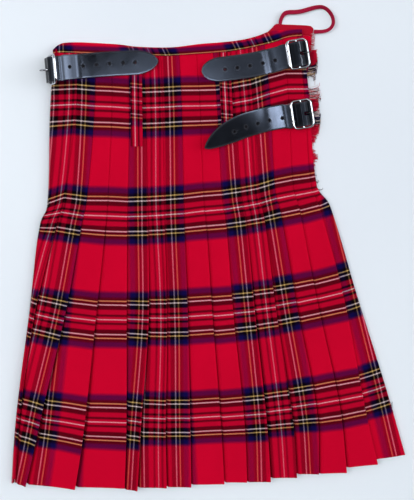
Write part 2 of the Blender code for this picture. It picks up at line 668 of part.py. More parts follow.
def build_buckle(name, plan):
    """Frame with its centre bar, prong, and the leather tab round the bar."""
    place = buckle_frame(plan)
    along, across = FRAME_HALF
    corner = 4.6
    ring = []
    for cx, cy, start in ((1, 1, 0), (-1, 1, 90), (-1, -1, 180), (1, -1, 270)):
        for turn in (0.0, 22.5, 45.0, 67.5, 90.0):
            a = math.radians(start + turn)
            ring.append((cx * (along - corner) + corner * math.cos(a), cy * (across - corner) + corner * math.sin(a), 0.0))
    frame = tube(ring, WIRE, closed=True)
    frame.transform(place)
    made = add_object("buckle_" + name, frame, "chrome")
    bar = tube([(0.0, -across, 0.0), (0.0, 0.0, 0.0), (0.0, across, 0.0)], BAR)
    bar.transform(place)
    boolean(made, bar, "UNION")

    prong = tube([(a, 0.0, n) for a, n in plan.prong], PRONG)
    prong.transform(place)
    add_object("prong_" + name, prong, "chrome")


TAB_PROFILE = ((-21.0, -5.6), (-12.0, -5.6), (-4.0, -5.4), (0.8, -3.0), (2.2, 0.0), (1.56, 1.56), (0.0, 2.2),
               (-1.8, 1.5), (-4.2, -1.2), (-6.2, -3.4))
LEFT_TAB_PROFILE = ((-4.8, -16.4), (-6.4, -11.0), (-4.6, -6.6), (0.6, -3.0), (2.2, 0.0), (1.56, 1.56), (0.0, 2.2),
                    (-1.8, 1.5), (-4.2, -1.2), (-6.2, -3.4))


def build_tab(name, plan):
    """The buckle's leather tab: under the bar, round it and back, slotted for the prong."""
    place = buckle_frame(plan)
    profile = LEFT_TAB_PROFILE if plan.tilt else TAB_PROFILE
    rows = [[tuple(place @ Vector((a, side * TAB_WIDTH / 2, n))) for a, n in profile] for side in (-1, 1)]
    tab = wall("buckle_tab_" + name, rows, TAB_WALL, "leather")
    room = bmesh.new()
    bmesh.ops.create_cube(room, size=1.0)
    mesh = bpy.data.meshes.new("slot")
    room.to_mesh(mesh)
    room.free()
    mesh.transform(place @ Matrix.Translation((0.0, 0.0, -0.6)) @ Matrix.Diagonal((8.0, 4.2, 8.8, 1.0)))
    boolean(tab, mesh, "DIFFERENCE")


def main():
    for old in list(bpy.data.objects):
        bpy.data.objects.remove(old)
    build_aprons()
    build_fringe()
    build_back()
    build_waistband()
    build_belt_loops()
    build_hanger()
    for name, plan in STRAPS.items():
        build_strap(name, plan)
        build_buckle(name, plan)
        build_tab(name, plan)


main()
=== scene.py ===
"""Looks for a scottish kilt that lies flat on its front with its pleated back up.

The cloth, the leather and the metal are drafted in millimetres on the same plan as
the part's solids, with +X to the wearer's right and +Y to the waist.
"""
import logging
import math
import random
from dataclasses import dataclass, field
from enum import Enum
from typing import Callable, Iterable, Optional, Sequence, Union

import bmesh
import bpy
from bpy.types import Material, Mesh, MeshPolygon, Node, NodeSocket, NodeTree, Object
from mathutils import Matrix, Vector, noise

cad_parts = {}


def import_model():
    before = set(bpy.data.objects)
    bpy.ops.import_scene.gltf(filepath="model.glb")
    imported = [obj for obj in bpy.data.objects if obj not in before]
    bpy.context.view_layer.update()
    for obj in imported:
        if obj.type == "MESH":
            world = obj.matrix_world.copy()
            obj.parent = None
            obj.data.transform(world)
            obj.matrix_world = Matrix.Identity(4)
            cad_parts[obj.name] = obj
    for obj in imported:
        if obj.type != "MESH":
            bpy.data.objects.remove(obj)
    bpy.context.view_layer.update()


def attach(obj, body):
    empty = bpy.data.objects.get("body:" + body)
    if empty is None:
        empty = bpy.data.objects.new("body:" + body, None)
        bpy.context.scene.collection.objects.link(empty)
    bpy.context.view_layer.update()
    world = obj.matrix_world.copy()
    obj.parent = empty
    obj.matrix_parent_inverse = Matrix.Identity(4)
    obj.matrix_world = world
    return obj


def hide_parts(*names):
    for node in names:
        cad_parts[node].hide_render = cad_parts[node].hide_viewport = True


LOG = logging.getLogger("kilt")
MM = 0.001
PLAN_SHIFT = Vector((-1.15, 20.35, 0.0))    # from the drafting zero to the model's origin

# ---- sizes shared with the solids, in millimetres --------------------------------------
DROP = 612.0
SEAM = 0.3
APRON_WALL, UNDER_WALL, BACK_WALL, BAND_WALL = 1.5, 1.2, 1.0, 1.2
LAYER_PITCH = 1.45
UNDER_LEVEL = APRON_WALL + SEAM + UNDER_WALL / 2
LOW_LEVEL = APRON_WALL + UNDER_WALL + 2 * SEAM + BACK_WALL / 2
HIGH_LEVEL = LOW_LEVEL + 2 * LAYER_PITCH
BACK_TOP = HIGH_LEVEL + BACK_WALL / 2
LEVELS = (0.0, 79.0, 208.0, 240.0, 369.0, 528.0, DROP)
FIRST_WEFT = 79.0           # cloth length from the waist to the first white cross line
SETT = 144.0                # one repeat of the tartan
FIRST_LINE = 207.0          # height in the plan of the aprons' first white cross line
# where the face between two creases has its points
FACE_SHARES = (0.0, 0.02, 0.05, 0.09, 0.15, 0.24, 0.36, 0.5, 0.64, 0.78, 0.9, 1.0)
FELL_ENDS = (200.0, 290.0)  # the pleats are sewn down above, and free below


@dataclass(frozen=True)
class Fold:
    """One pressed crease of the pleating.

    places holds its distance from the centre back at each of LEVELS, warp the thread of
    the tartan that runs along it, dip the drop of its tip at the hem and lift how far it
    stands up at LEVELS. sag tells how far the cross threads of the face on its left are
    pushed along the cloth at each of WHITE_LINES, and drift how far its warp threads are
    pushed aside at LEVELS.
    """
    places: tuple[float, ...]
    warp: float
    dip: float = 0.0
    lift: tuple[float, ...] = (0.0,) * 7
    sag: tuple[float, ...] = (0.0,) * 4
    drift: tuple[float, ...] = (0.0,) * 7


WHITE_LINES = (79.0, 223.0, 367.0, 511.0)
LEFT_SIDE = Fold((-204, -211.9, -219, -230, -248.4, -272.5, -280.2), -22, sag=(5.5, -4.8, -13, -14.5))
RIGHT_SIDE = Fold((127.1, 136.6, 150, 168, 207.5, 257.5, 282.5), 418, 2.5, sag=(1.5, 8, 5.5, 2.3),
                  drift=(-19, -20, -30, -14, -7, 2, 6))
CREASES = (
    Fold((-173.7, -176.1, -195.1, -204.5, -238, -265, -273), 9.4, 4, (0, 0, 0, 1, 3.5, 2, 2),
         (-1, -4.8, -13, -14.5), (0, 0, -4, -2.5, -1.5, -3, -4)),
    Fold((-149.7, -151.1, -164.4, -171.5, -196.9, -236, -258), 38.5, 14, (0, 0, 0, 0, 2, 6, 8),
         (-2.3, -7, -12, -17.7), (-0.8, -0.8, -4.2, -4, -3.5, -2.7, -4)),
    Fold((-127.8, -128.3, -135.8, -139, -154.4, -173.5, -187.8), 77.2, 9, (0, 0, 0, 0, 1, 6, 8),
         (-2, -5.3, -8, -12.5), (-3, -3, -5, -5.2, -4, -2.5, -2.5)),
    Fold((-105.8, -104.8, -108.5, -109.7, -111.9, -114.3, -117.8), 99.1, 3.5, (0, 0, 0, 0, 1, 2, 3),
         (-1.3, -4, -3.8, -6.8)),
    Fold((-84.5, -82.6, -81.2, -80.8, -81.4, -94, -99.3), 130, 5, (0, 0, 0, 0, 1, 4, 6),
         (0.5, -1.3, -1.8, -3.8), (0, -1, 1, 1.5, 1.5, 1.5, 2)),
    Fold((-62.6, -60.1, -58.7, -58.2, -55.9, -58.7, -57.8), 153.4, 0, (0, 0, 0, 0, 1, 3, 4),
         (2, 0.8, 1.3, 1), (-1, -0.3, 1.5, 0.5, -1.3, 0.5, 1.5)),
    Fold((-37.9, -34.3, -32, -31.3, -26.7, -23.9, -22.9), 182.5, 0.5, (0, 0, 0, 0, 1, 2, 2.5),
         (2.5, 1.8, 1.3, 0.5), (-3, -2, -0.5, -0.5, 0, 2.2, 2)),
    Fold((-15.3, -10.1, -4.8, -1.5, 7.4, 19.6, 24.4), 221.2, 0, (0, 0, 0, 0, 1, 1.5, 2),
         (-0.3, 2.2, 1.3, -0.5)),
    Fold((6.7, 12.8, 20.4, 25.7, 36.6, 53, 56.8), 243.1, 0, (0, 0, 0, 0, 1, 2, 3),
         (-1.7, 2, -0.5, -2.3)),
    Fold((29.9, 36.9, 47, 53.3, 66.4, 84.3, 90.6), 274, 2, (0, 0, 0, 0, 1.5, 3, 3.5),
         (-0.5, 3.8, 1.3, -2), (0, 0, 0.2, 1.2, 1.2, 3, 6)),
    Fold((52.6, 60.4, 70.1, 78.1, 95.5, 120.6, 127.6), 297.4, 1, (0, 0, 0, 0, 1.5, 3, 4),
         (0.3, 4.6, 2.7, -0.5), (0, 0, -0.5, 1.5, 3, 7.5, 7.8)),
    Fold((74.5, 83.8, 92.5, 100.5, 123.9, 155.2, 158.8), 326.5, 4.5, (0, 0, 0, 0, 1, 2.5, 3.5),
         (1.3, 4.7, 2.3, -1), (-2, -2, -4.5, -2.5, -0.8, 2.5, -1)),
    Fold((97.8, 107.9, 117, 126.2, 152.3, 187.8, 198.5), 365.2, 9.5, (0, 0, 0, 0, 1, 2.5, 4),
         (2.7, 4.3, 1.3, -1.8)),
    Fold((117.8, 129.3, 141, 153.5, 188.9, 222, 242.4), 387.1, 4, (0, 0, 0, 0, 1, 1.5, 2.5),
         (1.4, 6.5, 4.3, -1.3)),
)
WAIST_EDGE = ((-206.4, 268.6), (-200, 274.5), (-191.3, 278.3), (-171.5, 279.4), (-144.1, 278.3),
              (-116.5, 276.6), (-95, 273.9), (-48.5, 272.9), (-8.6, 277.4), (18.9, 279.5),
              (46.4, 282.7), (68.3, 288.1), (82.6, 293.4), (101.4, 295.6), (126.5, 297))
BAND_EDGE = ((-206.4, 264.5), (-196.1, 265.8), (-141.6, 264.3), (-67.2, 262.1), (-48.6, 262.1),
             (-8.6, 264.6), (24.5, 267.2), (46.5, 270.4), (68.4, 274.7), (90.4, 280.1),
             (106.8, 285.4), (126.5, 288))
CORNER_BULGE, BULGE_AT, BULGE_SPREAD = 4, (-198, 246), (28, 38)
APRON_CORNER = ((80, 292.5), (86, 298), (92, 303.7), (102, 303.2), (119.3, 302.6),
                (138.4, 301), (142.4, 297.2))
# the over apron's frayed edge: heights in the plan, and its place there
FREE_EDGE = ((-284, 266), (-206, 245), (-54, 194), (30, 163), (80, 144), (109, 137), (128, 135), (143, 135),
             (163, 139), (184, 140.5), (212, 138.5), (229, 133.5), (243, 137), (256, 140.5), (269, 139.5),
             (286.5, 140))


# ---- general helpers -------------------------------------------------------------------
Pair = tuple[float, float]


def through(knots: Sequence[float], values: Sequence[float], at: float) -> float:
    """Read a smooth curve.

    Args:
        knots: rising places along the curve.
        values: the curve's value at each knot.
        at: the place to read.

    Returns:
        The value there, held level past both ends.
    """
    if at <= knots[0]:
        return values[0]
    if at >= knots[-1]:
        return values[-1]
    i = max(n for n, knot in enumerate(knots[:-1]) if knot <= at)
    span = knots[i + 1] - knots[i]

    def slope(n: int) -> float:
        """Slope of the curve at a knot."""
        low, high = max(n - 1, 0), min(n + 1, len(knots) - 1)
        return (values[high] - values[low]) / (knots[high] - knots[low])

    t = (at - knots[i]) / span
    return ((2 * t**3 - 3 * t**2 + 1) * values[i] + (t**3 - 2 * t**2 + t) * span * slope(i)
            + (3 * t**2 - 2 * t**3) * values[i + 1] + (t**3 - t**2) * span * slope(i + 1))


def along(table: Sequence[Sequence[float]], at: float) -> float:
    """Read a smooth curve from a table of places and values."""
    return through([row[0] for row in table], [row[1] for row in table], at)


def read(knots: Sequence[float], points: Sequence[Sequence[float]], at: float) -> Vector:
    """Read a smooth curve of points."""
    return Vector([through(knots, values, at) for values in zip(*points)])


def reaches(points: Sequence[Sequence[float]]) -> list[float]:
    """How far along its route each point lies.

    Args:
        points: the route's points, in order.

    Returns:
        The distance of each along the route.
    """
    made = [0.0]
    for a, b in zip(points, points[1:]):
        made.append(made[-1] + math.dist(a, b))
    return made


def ease(low: float, high: float, at: float) -> float:
    """Rise smoothly from 0 at low to 1 at high."""
    t = min(max((at - low) / (high - low), 0.0), 1.0)
    return t * t * (3 - 2 * t)


def between(a: float, b: float, t: float) -> float:
    """Mix a and b evenly."""
    return a + (b - a) * t


def steps(low: float, high: float, count: int) -> list[float]:
    """Places that part a stretch evenly, both ends included."""
    return [between(low, high, n / count) for n in range(count + 1)]


def placed(point: Iterable[float]) -> Vector:
    """A drafted point in the model's metres."""
    return (Vector(point) + PLAN_SHIFT) * MM


def waist_edge(x: float) -> float:
    """Height in the plan of the waistband's top."""
    return along(WAIST_EDGE, x)


def free_edge(y: float) -> float:
    """Place of the over apron's frayed edge."""
    return along(FREE_EDGE, y)


def bulge(x: float, y: float) -> float:
    """Extra height of the waist's left corner, where the strap goes round."""
    across, up = ((v - at) / spread for v, at, spread in zip((x, y), BULGE_AT, BULGE_SPREAD))
    return CORNER_BULGE * math.exp(-across * across - up * up)


def grain(x: float, y: float, z: float = 0.0) -> float:
    """Smooth unevenness between about -1 and 1."""
    return noise.noise(Vector((x, y, z)))


def choose(*pieces: Object) -> None:
    """Select these pieces alone, or none, so that operators touch nothing else.

    Args:
        pieces: the pieces, of which the last becomes the active one.
    """
    if bpy.context.object is not None and bpy.context.object.mode != "OBJECT":
        bpy.ops.object.mode_set(mode="OBJECT")
    bpy.ops.object.select_all(action="DESELECT")
    for piece in pieces:
        piece.select_set(True)
        bpy.context.view_layer.objects.active = piece


def started(primitive: Callable, name: str, **sizes: object) -> Object:
    """Add a primitive with nothing else selected, and name it.

    Args:
        primitive: the operator that adds it.
        name: the piece's name.
        sizes: the operator's own settings.

    Returns:
        The new piece.
    """
    choose()
    primitive(**sizes)
    piece = bpy.context.object
    piece.name = name
    return piece


def pick_faces(piece: Object, wanted: Callable[[MeshPolygon], bool]) -> None:
    """Enter edit mode with only the wanted faces selected.

    Args:
        piece: the piece.
        wanted: tells whether a face is wanted.
    """
    bpy.ops.object.mode_set(mode="EDIT")
    bpy.ops.mesh.select_all(action="DESELECT")
    bpy.ops.object.mode_set(mode="OBJECT")
    for face in piece.data.polygons:
        face.select = wanted(face)
    bpy.ops.object.mode_set(mode="EDIT")
    bpy.ops.mesh.select_mode(type="FACE")


def modify(piece: Object, *kinds: tuple[str, dict]) -> None:
    """Add modifiers with their settings, and make them part of the mesh.

    Args:
        piece: the piece.
        kinds: the type and the settings of each modifier.
    """
    for kind, settings in kinds:
        modifier = piece.modifiers.new(kind.lower(), kind)
        for name, value in settings.items():
            setattr(modifier, name, value)
    choose(piece)
    for modifier in list(piece.modifiers):
        bpy.ops.object.modifier_apply(modifier=modifier.name)


def thicken(wall: float) -> tuple[str, dict]:
    """The modifier that gives a sheet its thickness, half on each side."""
    return "SOLIDIFY", {"thickness": wall * MM, "offset": 0.0}


def smooth(piece: Object, degrees: float = 40.0) -> None:
    """Shade a piece smooth but for its sharp edges."""
    choose(piece)
    bpy.ops.object.shade_smooth_by_angle(angle=math.radians(degrees))


def reshape(piece: Object, move: Callable[[Vector], Vector]) -> None:
    """Move every point of a piece.

    Args:
        piece: the piece.
        move: gives a point's place in the draft, in millimetres.
    """
    for vertex in piece.data.vertices:
        vertex.co = placed(move(vertex.co / MM))
    piece.data.update()


def settle(mesh: Mesh, merge: bool = True) -> None:
    """Merge doubles and point all faces outwards.

    Args:
        mesh: the mesh.
        merge: whether points that lie together become one.
    """
    shape = bmesh.new()
    shape.from_mesh(mesh)
    if merge:
        bmesh.ops.remove_doubles(shape, verts=shape.verts, dist=1e-6)
    bmesh.ops.recalc_face_normals(shape, faces=shape.faces)
    shape.to_mesh(mesh)
    shape.free()


def draped(name: str, points: Sequence[Vector], faces: Sequence[tuple[int, ...]],
           threads: Sequence[Pair]) -> Object:
    """Make a piece from drafted points, with the threads' places, in metres, as its UV map.

    Args:
        name: the piece's name.
        points: its points in the draft.
        faces: the points of each face.
        threads: warp and weft of each point.

    Returns:
        The piece, whose UV map is in metres.
    """
    mesh = bpy.data.meshes.new(name)
    mesh.from_pydata([placed(p) for p in points], [], faces)
    layer = mesh.uv_layers.new(name="threads")
    for loop in mesh.loops:
        layer.data[loop.index].uv = [place * MM for place in threads[loop.vertex_index]]
    piece = bpy.data.objects.new(name, mesh)
    bpy.context.scene.collection.objects.link(piece)
    return piece


def marks(mesh: Mesh, values: Sequence[tuple[float, float, float]]) -> None:
    """Write each point's nearness to an edge or hole, its shine, turned down where shade is painted, and its distance
    from the line where a highlight is painted.
    """
    for name, column in zip(("wear", "shine", "bend"), zip(*values)):
        mesh.attributes.new(name, "FLOAT", "POINT").data.foreach_set("value", column)


def fasten(piece: Object, finish: Material, node: str) -> Object:
    """Dress a piece and tie it to the part.

    Args:
        piece: the finished piece.
        finish: its material.
        node: the solid that it stands for.

    Returns:
        The piece.
    """
    piece.data.materials.clear()
    piece.data.materials.append(finish)
    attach(piece, "root")
    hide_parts(node)
    LOG.info("%s: %d faces", piece.name, len(piece.data.polygons))
    return piece


# ---- finishes --------------------------------------------------------------------------
Colour = tuple[float, float, float]
TURN = math.tau         # one swing of a wave
Feed = Union[float, Sequence[float], NodeSocket]      # what a socket takes


def tone(red: float, green: float, blue: float) -> Colour:
    """A colour on a scale of 255, kept as a display value."""
    return red / 255.0, green / 255.0, blue / 255.0


def linear(colour: Colour) -> Colour:
    """A display value as the light it stands for."""
    return tuple(c ** 2.2 for c in colour)


class Nodes:
    """A short hand for one node tree."""

    def __init__(self, tree: NodeTree) -> None:
        """Keep the tree."""
        self.tree = tree

    def add(self, kind: str, settings: Optional[dict] = None, **inputs: Feed) -> Node:
        """Add a node.

        Args:
            kind: its type, without the ShaderNode in front.
            settings: its own properties.
            inputs: a value or a socket for each named input; spaces are written as _.

        Returns:
            The node.
        """
        node = self.tree.nodes.new("ShaderNode" + kind)
        for name, value in (settings or {}).items():
            setattr(node, name, value)
        for name, value in inputs.items():
            key = int(name[1:]) if name[0] == "i" and name[1:].isdigit() else name.replace("_", " ")
            self.feed(node.inputs[key], value)
        return node

    def feed(self, socket: NodeSocket, value: Feed) -> None:
        """Set a socket, or link it where the value is a socket.

        Args:
            socket: the input.
            value: a value, or the socket that gives it.
        """
        if isinstance(value, NodeSocket):
            self.tree.links.new(value, socket)
        elif socket.type == "RGBA" and len(value) == 3:
            socket.default_value = (*value, 1.0)
        else:
            socket.default_value = value

    def math(self, operation: str, *values: Feed) -> NodeSocket:
        """A Math node's result.

        Args:
            operation: the node's operation.
            values: what it works on.

        Returns:
            The result.
        """
        node = self.add("Math", {"operation": operation})
        for socket, value in zip(node.inputs, values):
            self.feed(socket, value)
        return node.outputs[0]

    def plus(self, first: Feed, second: Feed) -> NodeSocket:
        """The sum of two values."""
        return self.math("ADD", first, second)

    def times(self, first: Feed, second: Feed) -> NodeSocket:
        """The product of two values."""
        return self.math("MULTIPLY", first, second)

    def swing(self, value: Feed, amount: Feed) -> NodeSocket:
        """A noise value turned to run evenly below and above zero."""
        return self.times(self.math("SUBTRACT", value, 0.5), amount)

    def wave(self, value: Feed, rate: float = TURN) -> NodeSocket:
        """A sine along a value."""
        return self.math("SINE", self.times(value, rate))

    def mix(self, share: Feed, first: Feed, second: Feed) -> NodeSocket:
        """A mix of two colours."""
        return self.add("Mix", {"data_type": "RGBA"}, i0=share, i6=first, i7=second).outputs[2]

    def scaled(self, colour: Feed, by: Feed) -> NodeSocket:
        """A colour made lighter or darker."""
        return self.add("VectorMath", {"operation": "SCALE"}, i0=colour, Scale=by).outputs[0]

    def shown(self, colour: Feed, by: Feed) -> NodeSocket:
        """A display colour, made lighter or darker, as the light it stands for."""
        return self.add("Gamma", Color=self.scaled(colour, by), Gamma=2.2).outputs[0]

    def ranged(self, value: Feed, low: float, high: float, **limits: float) -> NodeSocket:
        """A value that runs from low to high while another runs over its limits."""
        return self.add("MapRange", Value=value, To_Min=low, To_Max=high, **limits).outputs[0]

    def ramp(self, value: Feed, stops: Sequence[tuple[float, Colour]]) -> NodeSocket:
        """A colour ramp through the stops.

        Args:
            value: the value that is coloured.
            stops: place and colour of each stop.

        Returns:
            The colour.
        """
        node = self.add("ValToRGB", Fac=value)
        elements = node.color_ramp.elements
        elements.remove(elements[1])
        for n, (at, colour) in enumerate(stops):
            element = elements.new(at) if n else elements[0]
            element.position, element.color = at, (*colour, 1.0)
        return node.outputs[0]

    def noise(self, vector: Feed, scale: float, detail: float = 2.0, roughness: float = 0.5) -> NodeSocket:
        """Smooth noise."""
        return self.add("TexNoise", Vector=vector, Scale=scale, Detail=detail, Roughness=roughness).outputs[0]

    def uv(self, name: str) -> NodeSocket:
        """A UV map's place."""
        return self.add("UVMap", {"uv_map": name}).outputs[0]

    def mark(self, name: str) -> NodeSocket:
        """An attribute's value."""
        return self.add("Attribute", {"attribute_name": name}).outputs["Fac"]


def effect(name: str, inputs: Sequence[tuple[str, str, object]], outputs: Sequence[tuple[str, str]],
           draw: Callable[[Nodes, dict, dict], None]) -> NodeTree:
    """Build a shader node group once.

    Args:
        name: the group's name.
        inputs: name, socket type and default of each input.
        outputs: name and socket type of each output.
        draw: wires the group, given its nodes, its inputs by name and its output sockets by name.

    Returns:
        The group.
    """
    group = bpy.data.node_groups.get(name)
    if group is not None:
        return group
    group = bpy.data.node_groups.new(name, "ShaderNodeTree")
    for label, kind, default in inputs:
        socket = group.interface.new_socket(label, in_out="INPUT", socket_type="NodeSocket" + kind)
        if default is not None:
            socket.default_value = default
    for label, kind in outputs:
        group.interface.new_socket(label, in_out="OUTPUT", socket_type="NodeSocket" + kind)
    entry, leave = group.nodes.new("NodeGroupInput"), group.nodes.new("NodeGroupOutput")
    draw(Nodes(group), {s.name: s for s in entry.outputs}, {s.name: s for s in leave.inputs})
    return group


@dataclass(frozen=True)
class Stripe:
    """One stripe of the thread count: where it ends, in millimetres from the white pivot, and its yarn."""
    ends: float
    yarn: Colour
    soft: float = 0.35      # how far it mixes into the next


RED, DEEP_RED = tone(188, 9, 43), tone(166, 10, 42)
BLACK, NAVY = tone(17, 7, 12), tone(22, 15, 64)
WHITE, YELLOW = tone(208, 188, 186), tone(184, 152, 90)
THREAD_COUNT = (Stripe(0.8, WHITE, 0.4), Stripe(4.3, DEEP_RED, 1.0), Stripe(7.0, BLACK, 1.0),
                Stripe(13.9, DEEP_RED, 1.0), Stripe(19.7, BLACK, 0.45), Stripe(21.6, WHITE, 0.45),
                Stripe(25.1, BLACK, 0.4), Stripe(27.0, YELLOW, 0.4), Stripe(31.0, BLACK, 1.6),
                Stripe(38.9, NAVY, 2.5), Stripe(72.0, RED))


def sett_chart(nodes: Nodes, given: dict, made: dict) -> None:
    """Wire the thread count: the yarn's colour at a place across the threads.

    Args:
        nodes: the nodes that are wired.
        given: the group's inputs by name.
        made: the group's output sockets by name.
    """
    half = SETT / 2 * MM
    folded = nodes.math("PINGPONG", given["Place"], half)
    stops = [(0.0, THREAD_COUNT[0].yarn)]
    for stripe, following in zip(THREAD_COUNT, THREAD_COUNT[1:]):
        stops += [((stripe.ends + way * stripe.soft) * 2 / SETT, side.yarn)
                  for way, side in ((-1, stripe), (1, following))]
    nodes.feed(made["Yarn"], nodes.ramp(nodes.math("DIVIDE", folded, half), stops))


def yarn_at(nodes: Nodes, place: NodeSocket) -> NodeSocket:
    """The thread count's colour at a place across the threads."""
    chart = effect("sett", [("Place", "Float", 0.0)], [("Yarn", "Color")], sett_chart)
    return nodes.add("Group", {"node_tree": chart}, Place=place).outputs[0]


def tartan_weave(nodes: Nodes, given: dict, made: dict) -> None:
    """Wire the twill: warp and weft yarns cross, with the weft a little more to the front.

    Args:
        nodes: the nodes that are wired.
        given: the group's inputs by name.
        made: the group's output sockets by name.
    """
    place, pitch = given["Threads"], given["Yarn Pitch"]
    threads = nodes.add("SeparateXYZ", Vector=place).outputs[:2]
    wander = nodes.add("TexNoise", {"noise_dimensions": "2D"}, Vector=place, Scale=420.0, Detail=1.0).outputs[0]
    shift = nodes.swing(wander, given["Wander"])
    yarns = [yarn_at(nodes, nodes.plus(thread, shift)) for thread in threads]
    twill = nodes.wave(nodes.math("DIVIDE", nodes.plus(*threads), nodes.times(pitch, 4.0)))
    ribs = [nodes.wave(nodes.math("DIVIDE", thread, pitch)) for thread in threads]
    front = nodes.plus(nodes.times(twill, 0.3), given["Weft Share"])
    woven = nodes.mix(nodes.math("MINIMUM", nodes.math("MAXIMUM", front, 0.0), 1.0), *yarns)
    fuzz, worn = nodes.noise(place, 900.0, 2.0, 0.7), nodes.noise(place, 14.0, 3.0)
    shade = nodes.plus(nodes.swing(fuzz, given["Fuzz"]), nodes.swing(worn, 0.10))
    nodes.feed(made["Colour"], nodes.shown(woven, nodes.plus(nodes.plus(shade, 1.0), nodes.times(twill, 0.03))))
    raised = nodes.plus(nodes.times(twill, 0.5), nodes.times(nodes.plus(*ribs), 0.25))
    nodes.feed(made["Relief"], nodes.plus(raised, fuzz))


@dataclass(frozen=True)
class Finish:
    """A procedural finish."""
    name: str

    def make(self) -> Material:
        """Build the material.

        Returns:
            The material.
        """
        material = bpy.data.materials.new(self.name)
        material.use_nodes = True
        self.wire(Nodes(material.node_tree), material.node_tree.nodes["Principled BSDF"])
        return material

    def dress(self, nodes: Nodes, shader: Node, colour: Feed, relief: Feed, deep: float,
              strength: float = 0.6, **values: Feed) -> None:
        """Feed the shader.

        Args:
            nodes: the material's nodes.
            shader: its Principled BSDF.
            colour: the base colour.
            relief: the height of the surface's small forms.
            deep: how deep they are, in millimetres.
            strength: how strongly they turn the normal.
            values: the shader's other inputs.
        """
        bump = nodes.add("Bump", Height=relief, Distance=deep * MM, Strength=strength).outputs[0]
        for name, value in {"Base_Color": colour, "Normal": bump, **values}.items():
            nodes.feed(shader.inputs[name.replace("_", " ")], value)


@dataclass(frozen=True)
class TartanFinish(Finish):
    """Wool twill woven to the thread count."""
    weft_share: float = 0.65
    yarn_pitch: float = 0.5
    relief: float = 0.12
    wander: float = 0.35
    fuzz: float = 0.16

    def wire(self, nodes: Nodes, shader: Node) -> None:
        """Weave warp and weft.

        Args:
            nodes: the nodes that are wired.
            shader: the material's Principled BSDF.
        """
        group = effect("tartan_weave",
                       [("Threads", "Vector", None), ("Weft Share", "Float", 0.65), ("Yarn Pitch", "Float", 0.0005),
                        ("Wander", "Float", 0.0003), ("Fuzz", "Float", 0.2)],
                       [("Colour", "Color"), ("Relief", "Float")], tartan_weave)
        weave = nodes.add("Group", {"node_tree": group}, Threads=nodes.uv("threads"), Weft_Share=self.weft_share,
                          Yarn_Pitch=self.yarn_pitch * MM, Wander=self.wander * MM, Fuzz=self.fuzz)
        self.dress(nodes, shader, *weave.outputs, self.relief, Roughness=0.95, Specular_IOR_Level=0.04)


def hide_grain(nodes: Nodes, given: dict, made: dict) -> None:
    """Wire leather: fine pebbled grain, a soft cloud and a worn rim.

    Args:
        nodes: the nodes that are wired.
        given: the group's inputs by name.
        made: the group's output sockets by name.
    """
    place = given["Place"]
    cells = nodes.add("TexVoronoi", {"feature": "DISTANCE_TO_EDGE"}, Vector=place, Scale=given["Scale"]).outputs[0]
    pebble = nodes.math("MINIMUM", nodes.times(cells, 3.0), 1.0)
    cloud, fine = nodes.noise(place, 55.0, 4.0, 0.6), nodes.noise(place, 1800.0, 2.0, 0.6)
    rim = nodes.math("SUBTRACT", 1.0, nodes.math("MINIMUM", given["Wear"], 1.0))
    nodes.feed(made["Rubbed"], nodes.times(rim, nodes.plus(nodes.times(cloud, 0.8), 0.35)))
    nodes.feed(made["Cloud"], cloud)
    nodes.feed(made["Relief"], nodes.plus(nodes.times(pebble, 0.6), nodes.times(fine, 0.6)))


@dataclass(frozen=True)
class LeatherFinish(Finish):
    """Black strap leather with a bluish sheen and rubbed edges."""
    dark: Colour = (0.003, 0.003, 0.004)
    pale: Colour = (0.007, 0.008, 0.011)
    rubbed: Colour = (0.035, 0.035, 0.042)
    crest_highlight: Colour = (0.20, 0.21, 0.24)
    sheen: Colour = (0.62, 0.74, 1.0)
    gloss: float = 0.62
    rough: Pair = (0.11, 0.21)
    grain_scale: float = 900.0

    def wire(self, nodes: Nodes, shader: Node) -> None:
        """Grain the hide, rub its edges, paint a pale highlight line on its crest over the bar, and paint shade by
        turning its reflection down where the shine mark is low.

        Args:
            nodes: the nodes that are wired.
            shader: the material's Principled BSDF.
        """
        group = effect("hide_grain", [("Place", "Vector", None), ("Scale", "Float", 900.0), ("Wear", "Float", 1.0)],
                       [("Rubbed", "Float"), ("Cloud", "Float"), ("Relief", "Float")], hide_grain)
        hide = nodes.uv("hide")
        rubbed, cloud, relief = nodes.add("Group", {"node_tree": group}, Place=hide, Scale=self.grain_scale,
                                          Wear=nodes.mark("wear")).outputs
        worn = nodes.mix(rubbed, nodes.mix(cloud, self.dark, self.pale), self.rubbed)
        # painted highlight: a pale wavy line in the colour, where the strap's crest bends over the buckle's bar
        wavy = nodes.swing(nodes.noise(hide, 160.0, 1.0), 3.0)
        near = nodes.math("ABSOLUTE", nodes.plus(nodes.mark("bend"), wavy))
        line = nodes.ranged(near, 0.0, 1.0, From_Min=0.75, From_Max=0.25)
        # painted shade: the reflection follows the shine mark, which is low in the holes and inside the buckles
        self.dress(nodes, shader, nodes.mix(line, worn, self.crest_highlight), relief, 0.02, 0.3,
                   Roughness=nodes.ranged(cloud, *self.rough), Specular_Tint=self.sheen,
                   Specular_IOR_Level=nodes.times(nodes.mark("shine"), self.gloss))


@dataclass(frozen=True)
class ChromeFinish(Finish):
    """Plated steel, a little rubbed and dusty."""
    bright: float = 1.0
    dusty: Colour = (0.42, 0.43, 0.46)
    clean: Colour = (0.66, 0.67, 0.70)
    rough: Pair = (0.06, 0.20)

    def wire(self, nodes: Nodes, shader: Node) -> None:
        """Smear and scratch the plating.

        Args:
            nodes: the nodes that are wired.
            shader: the material's Principled BSDF.
        """
        place = nodes.add("TexCoord").outputs["Object"]
        smear = nodes.noise(place, 160.0, 4.0, 0.6)
        tints = (tuple(level * self.bright for level in tint) for tint in (self.dusty, self.clean))
        self.dress(nodes, shader, nodes.mix(smear, *tints), nodes.noise(place, 900.0), 0.02, 0.3,
                   Roughness=nodes.ranged(smear, *self.rough), Metallic=1.0)


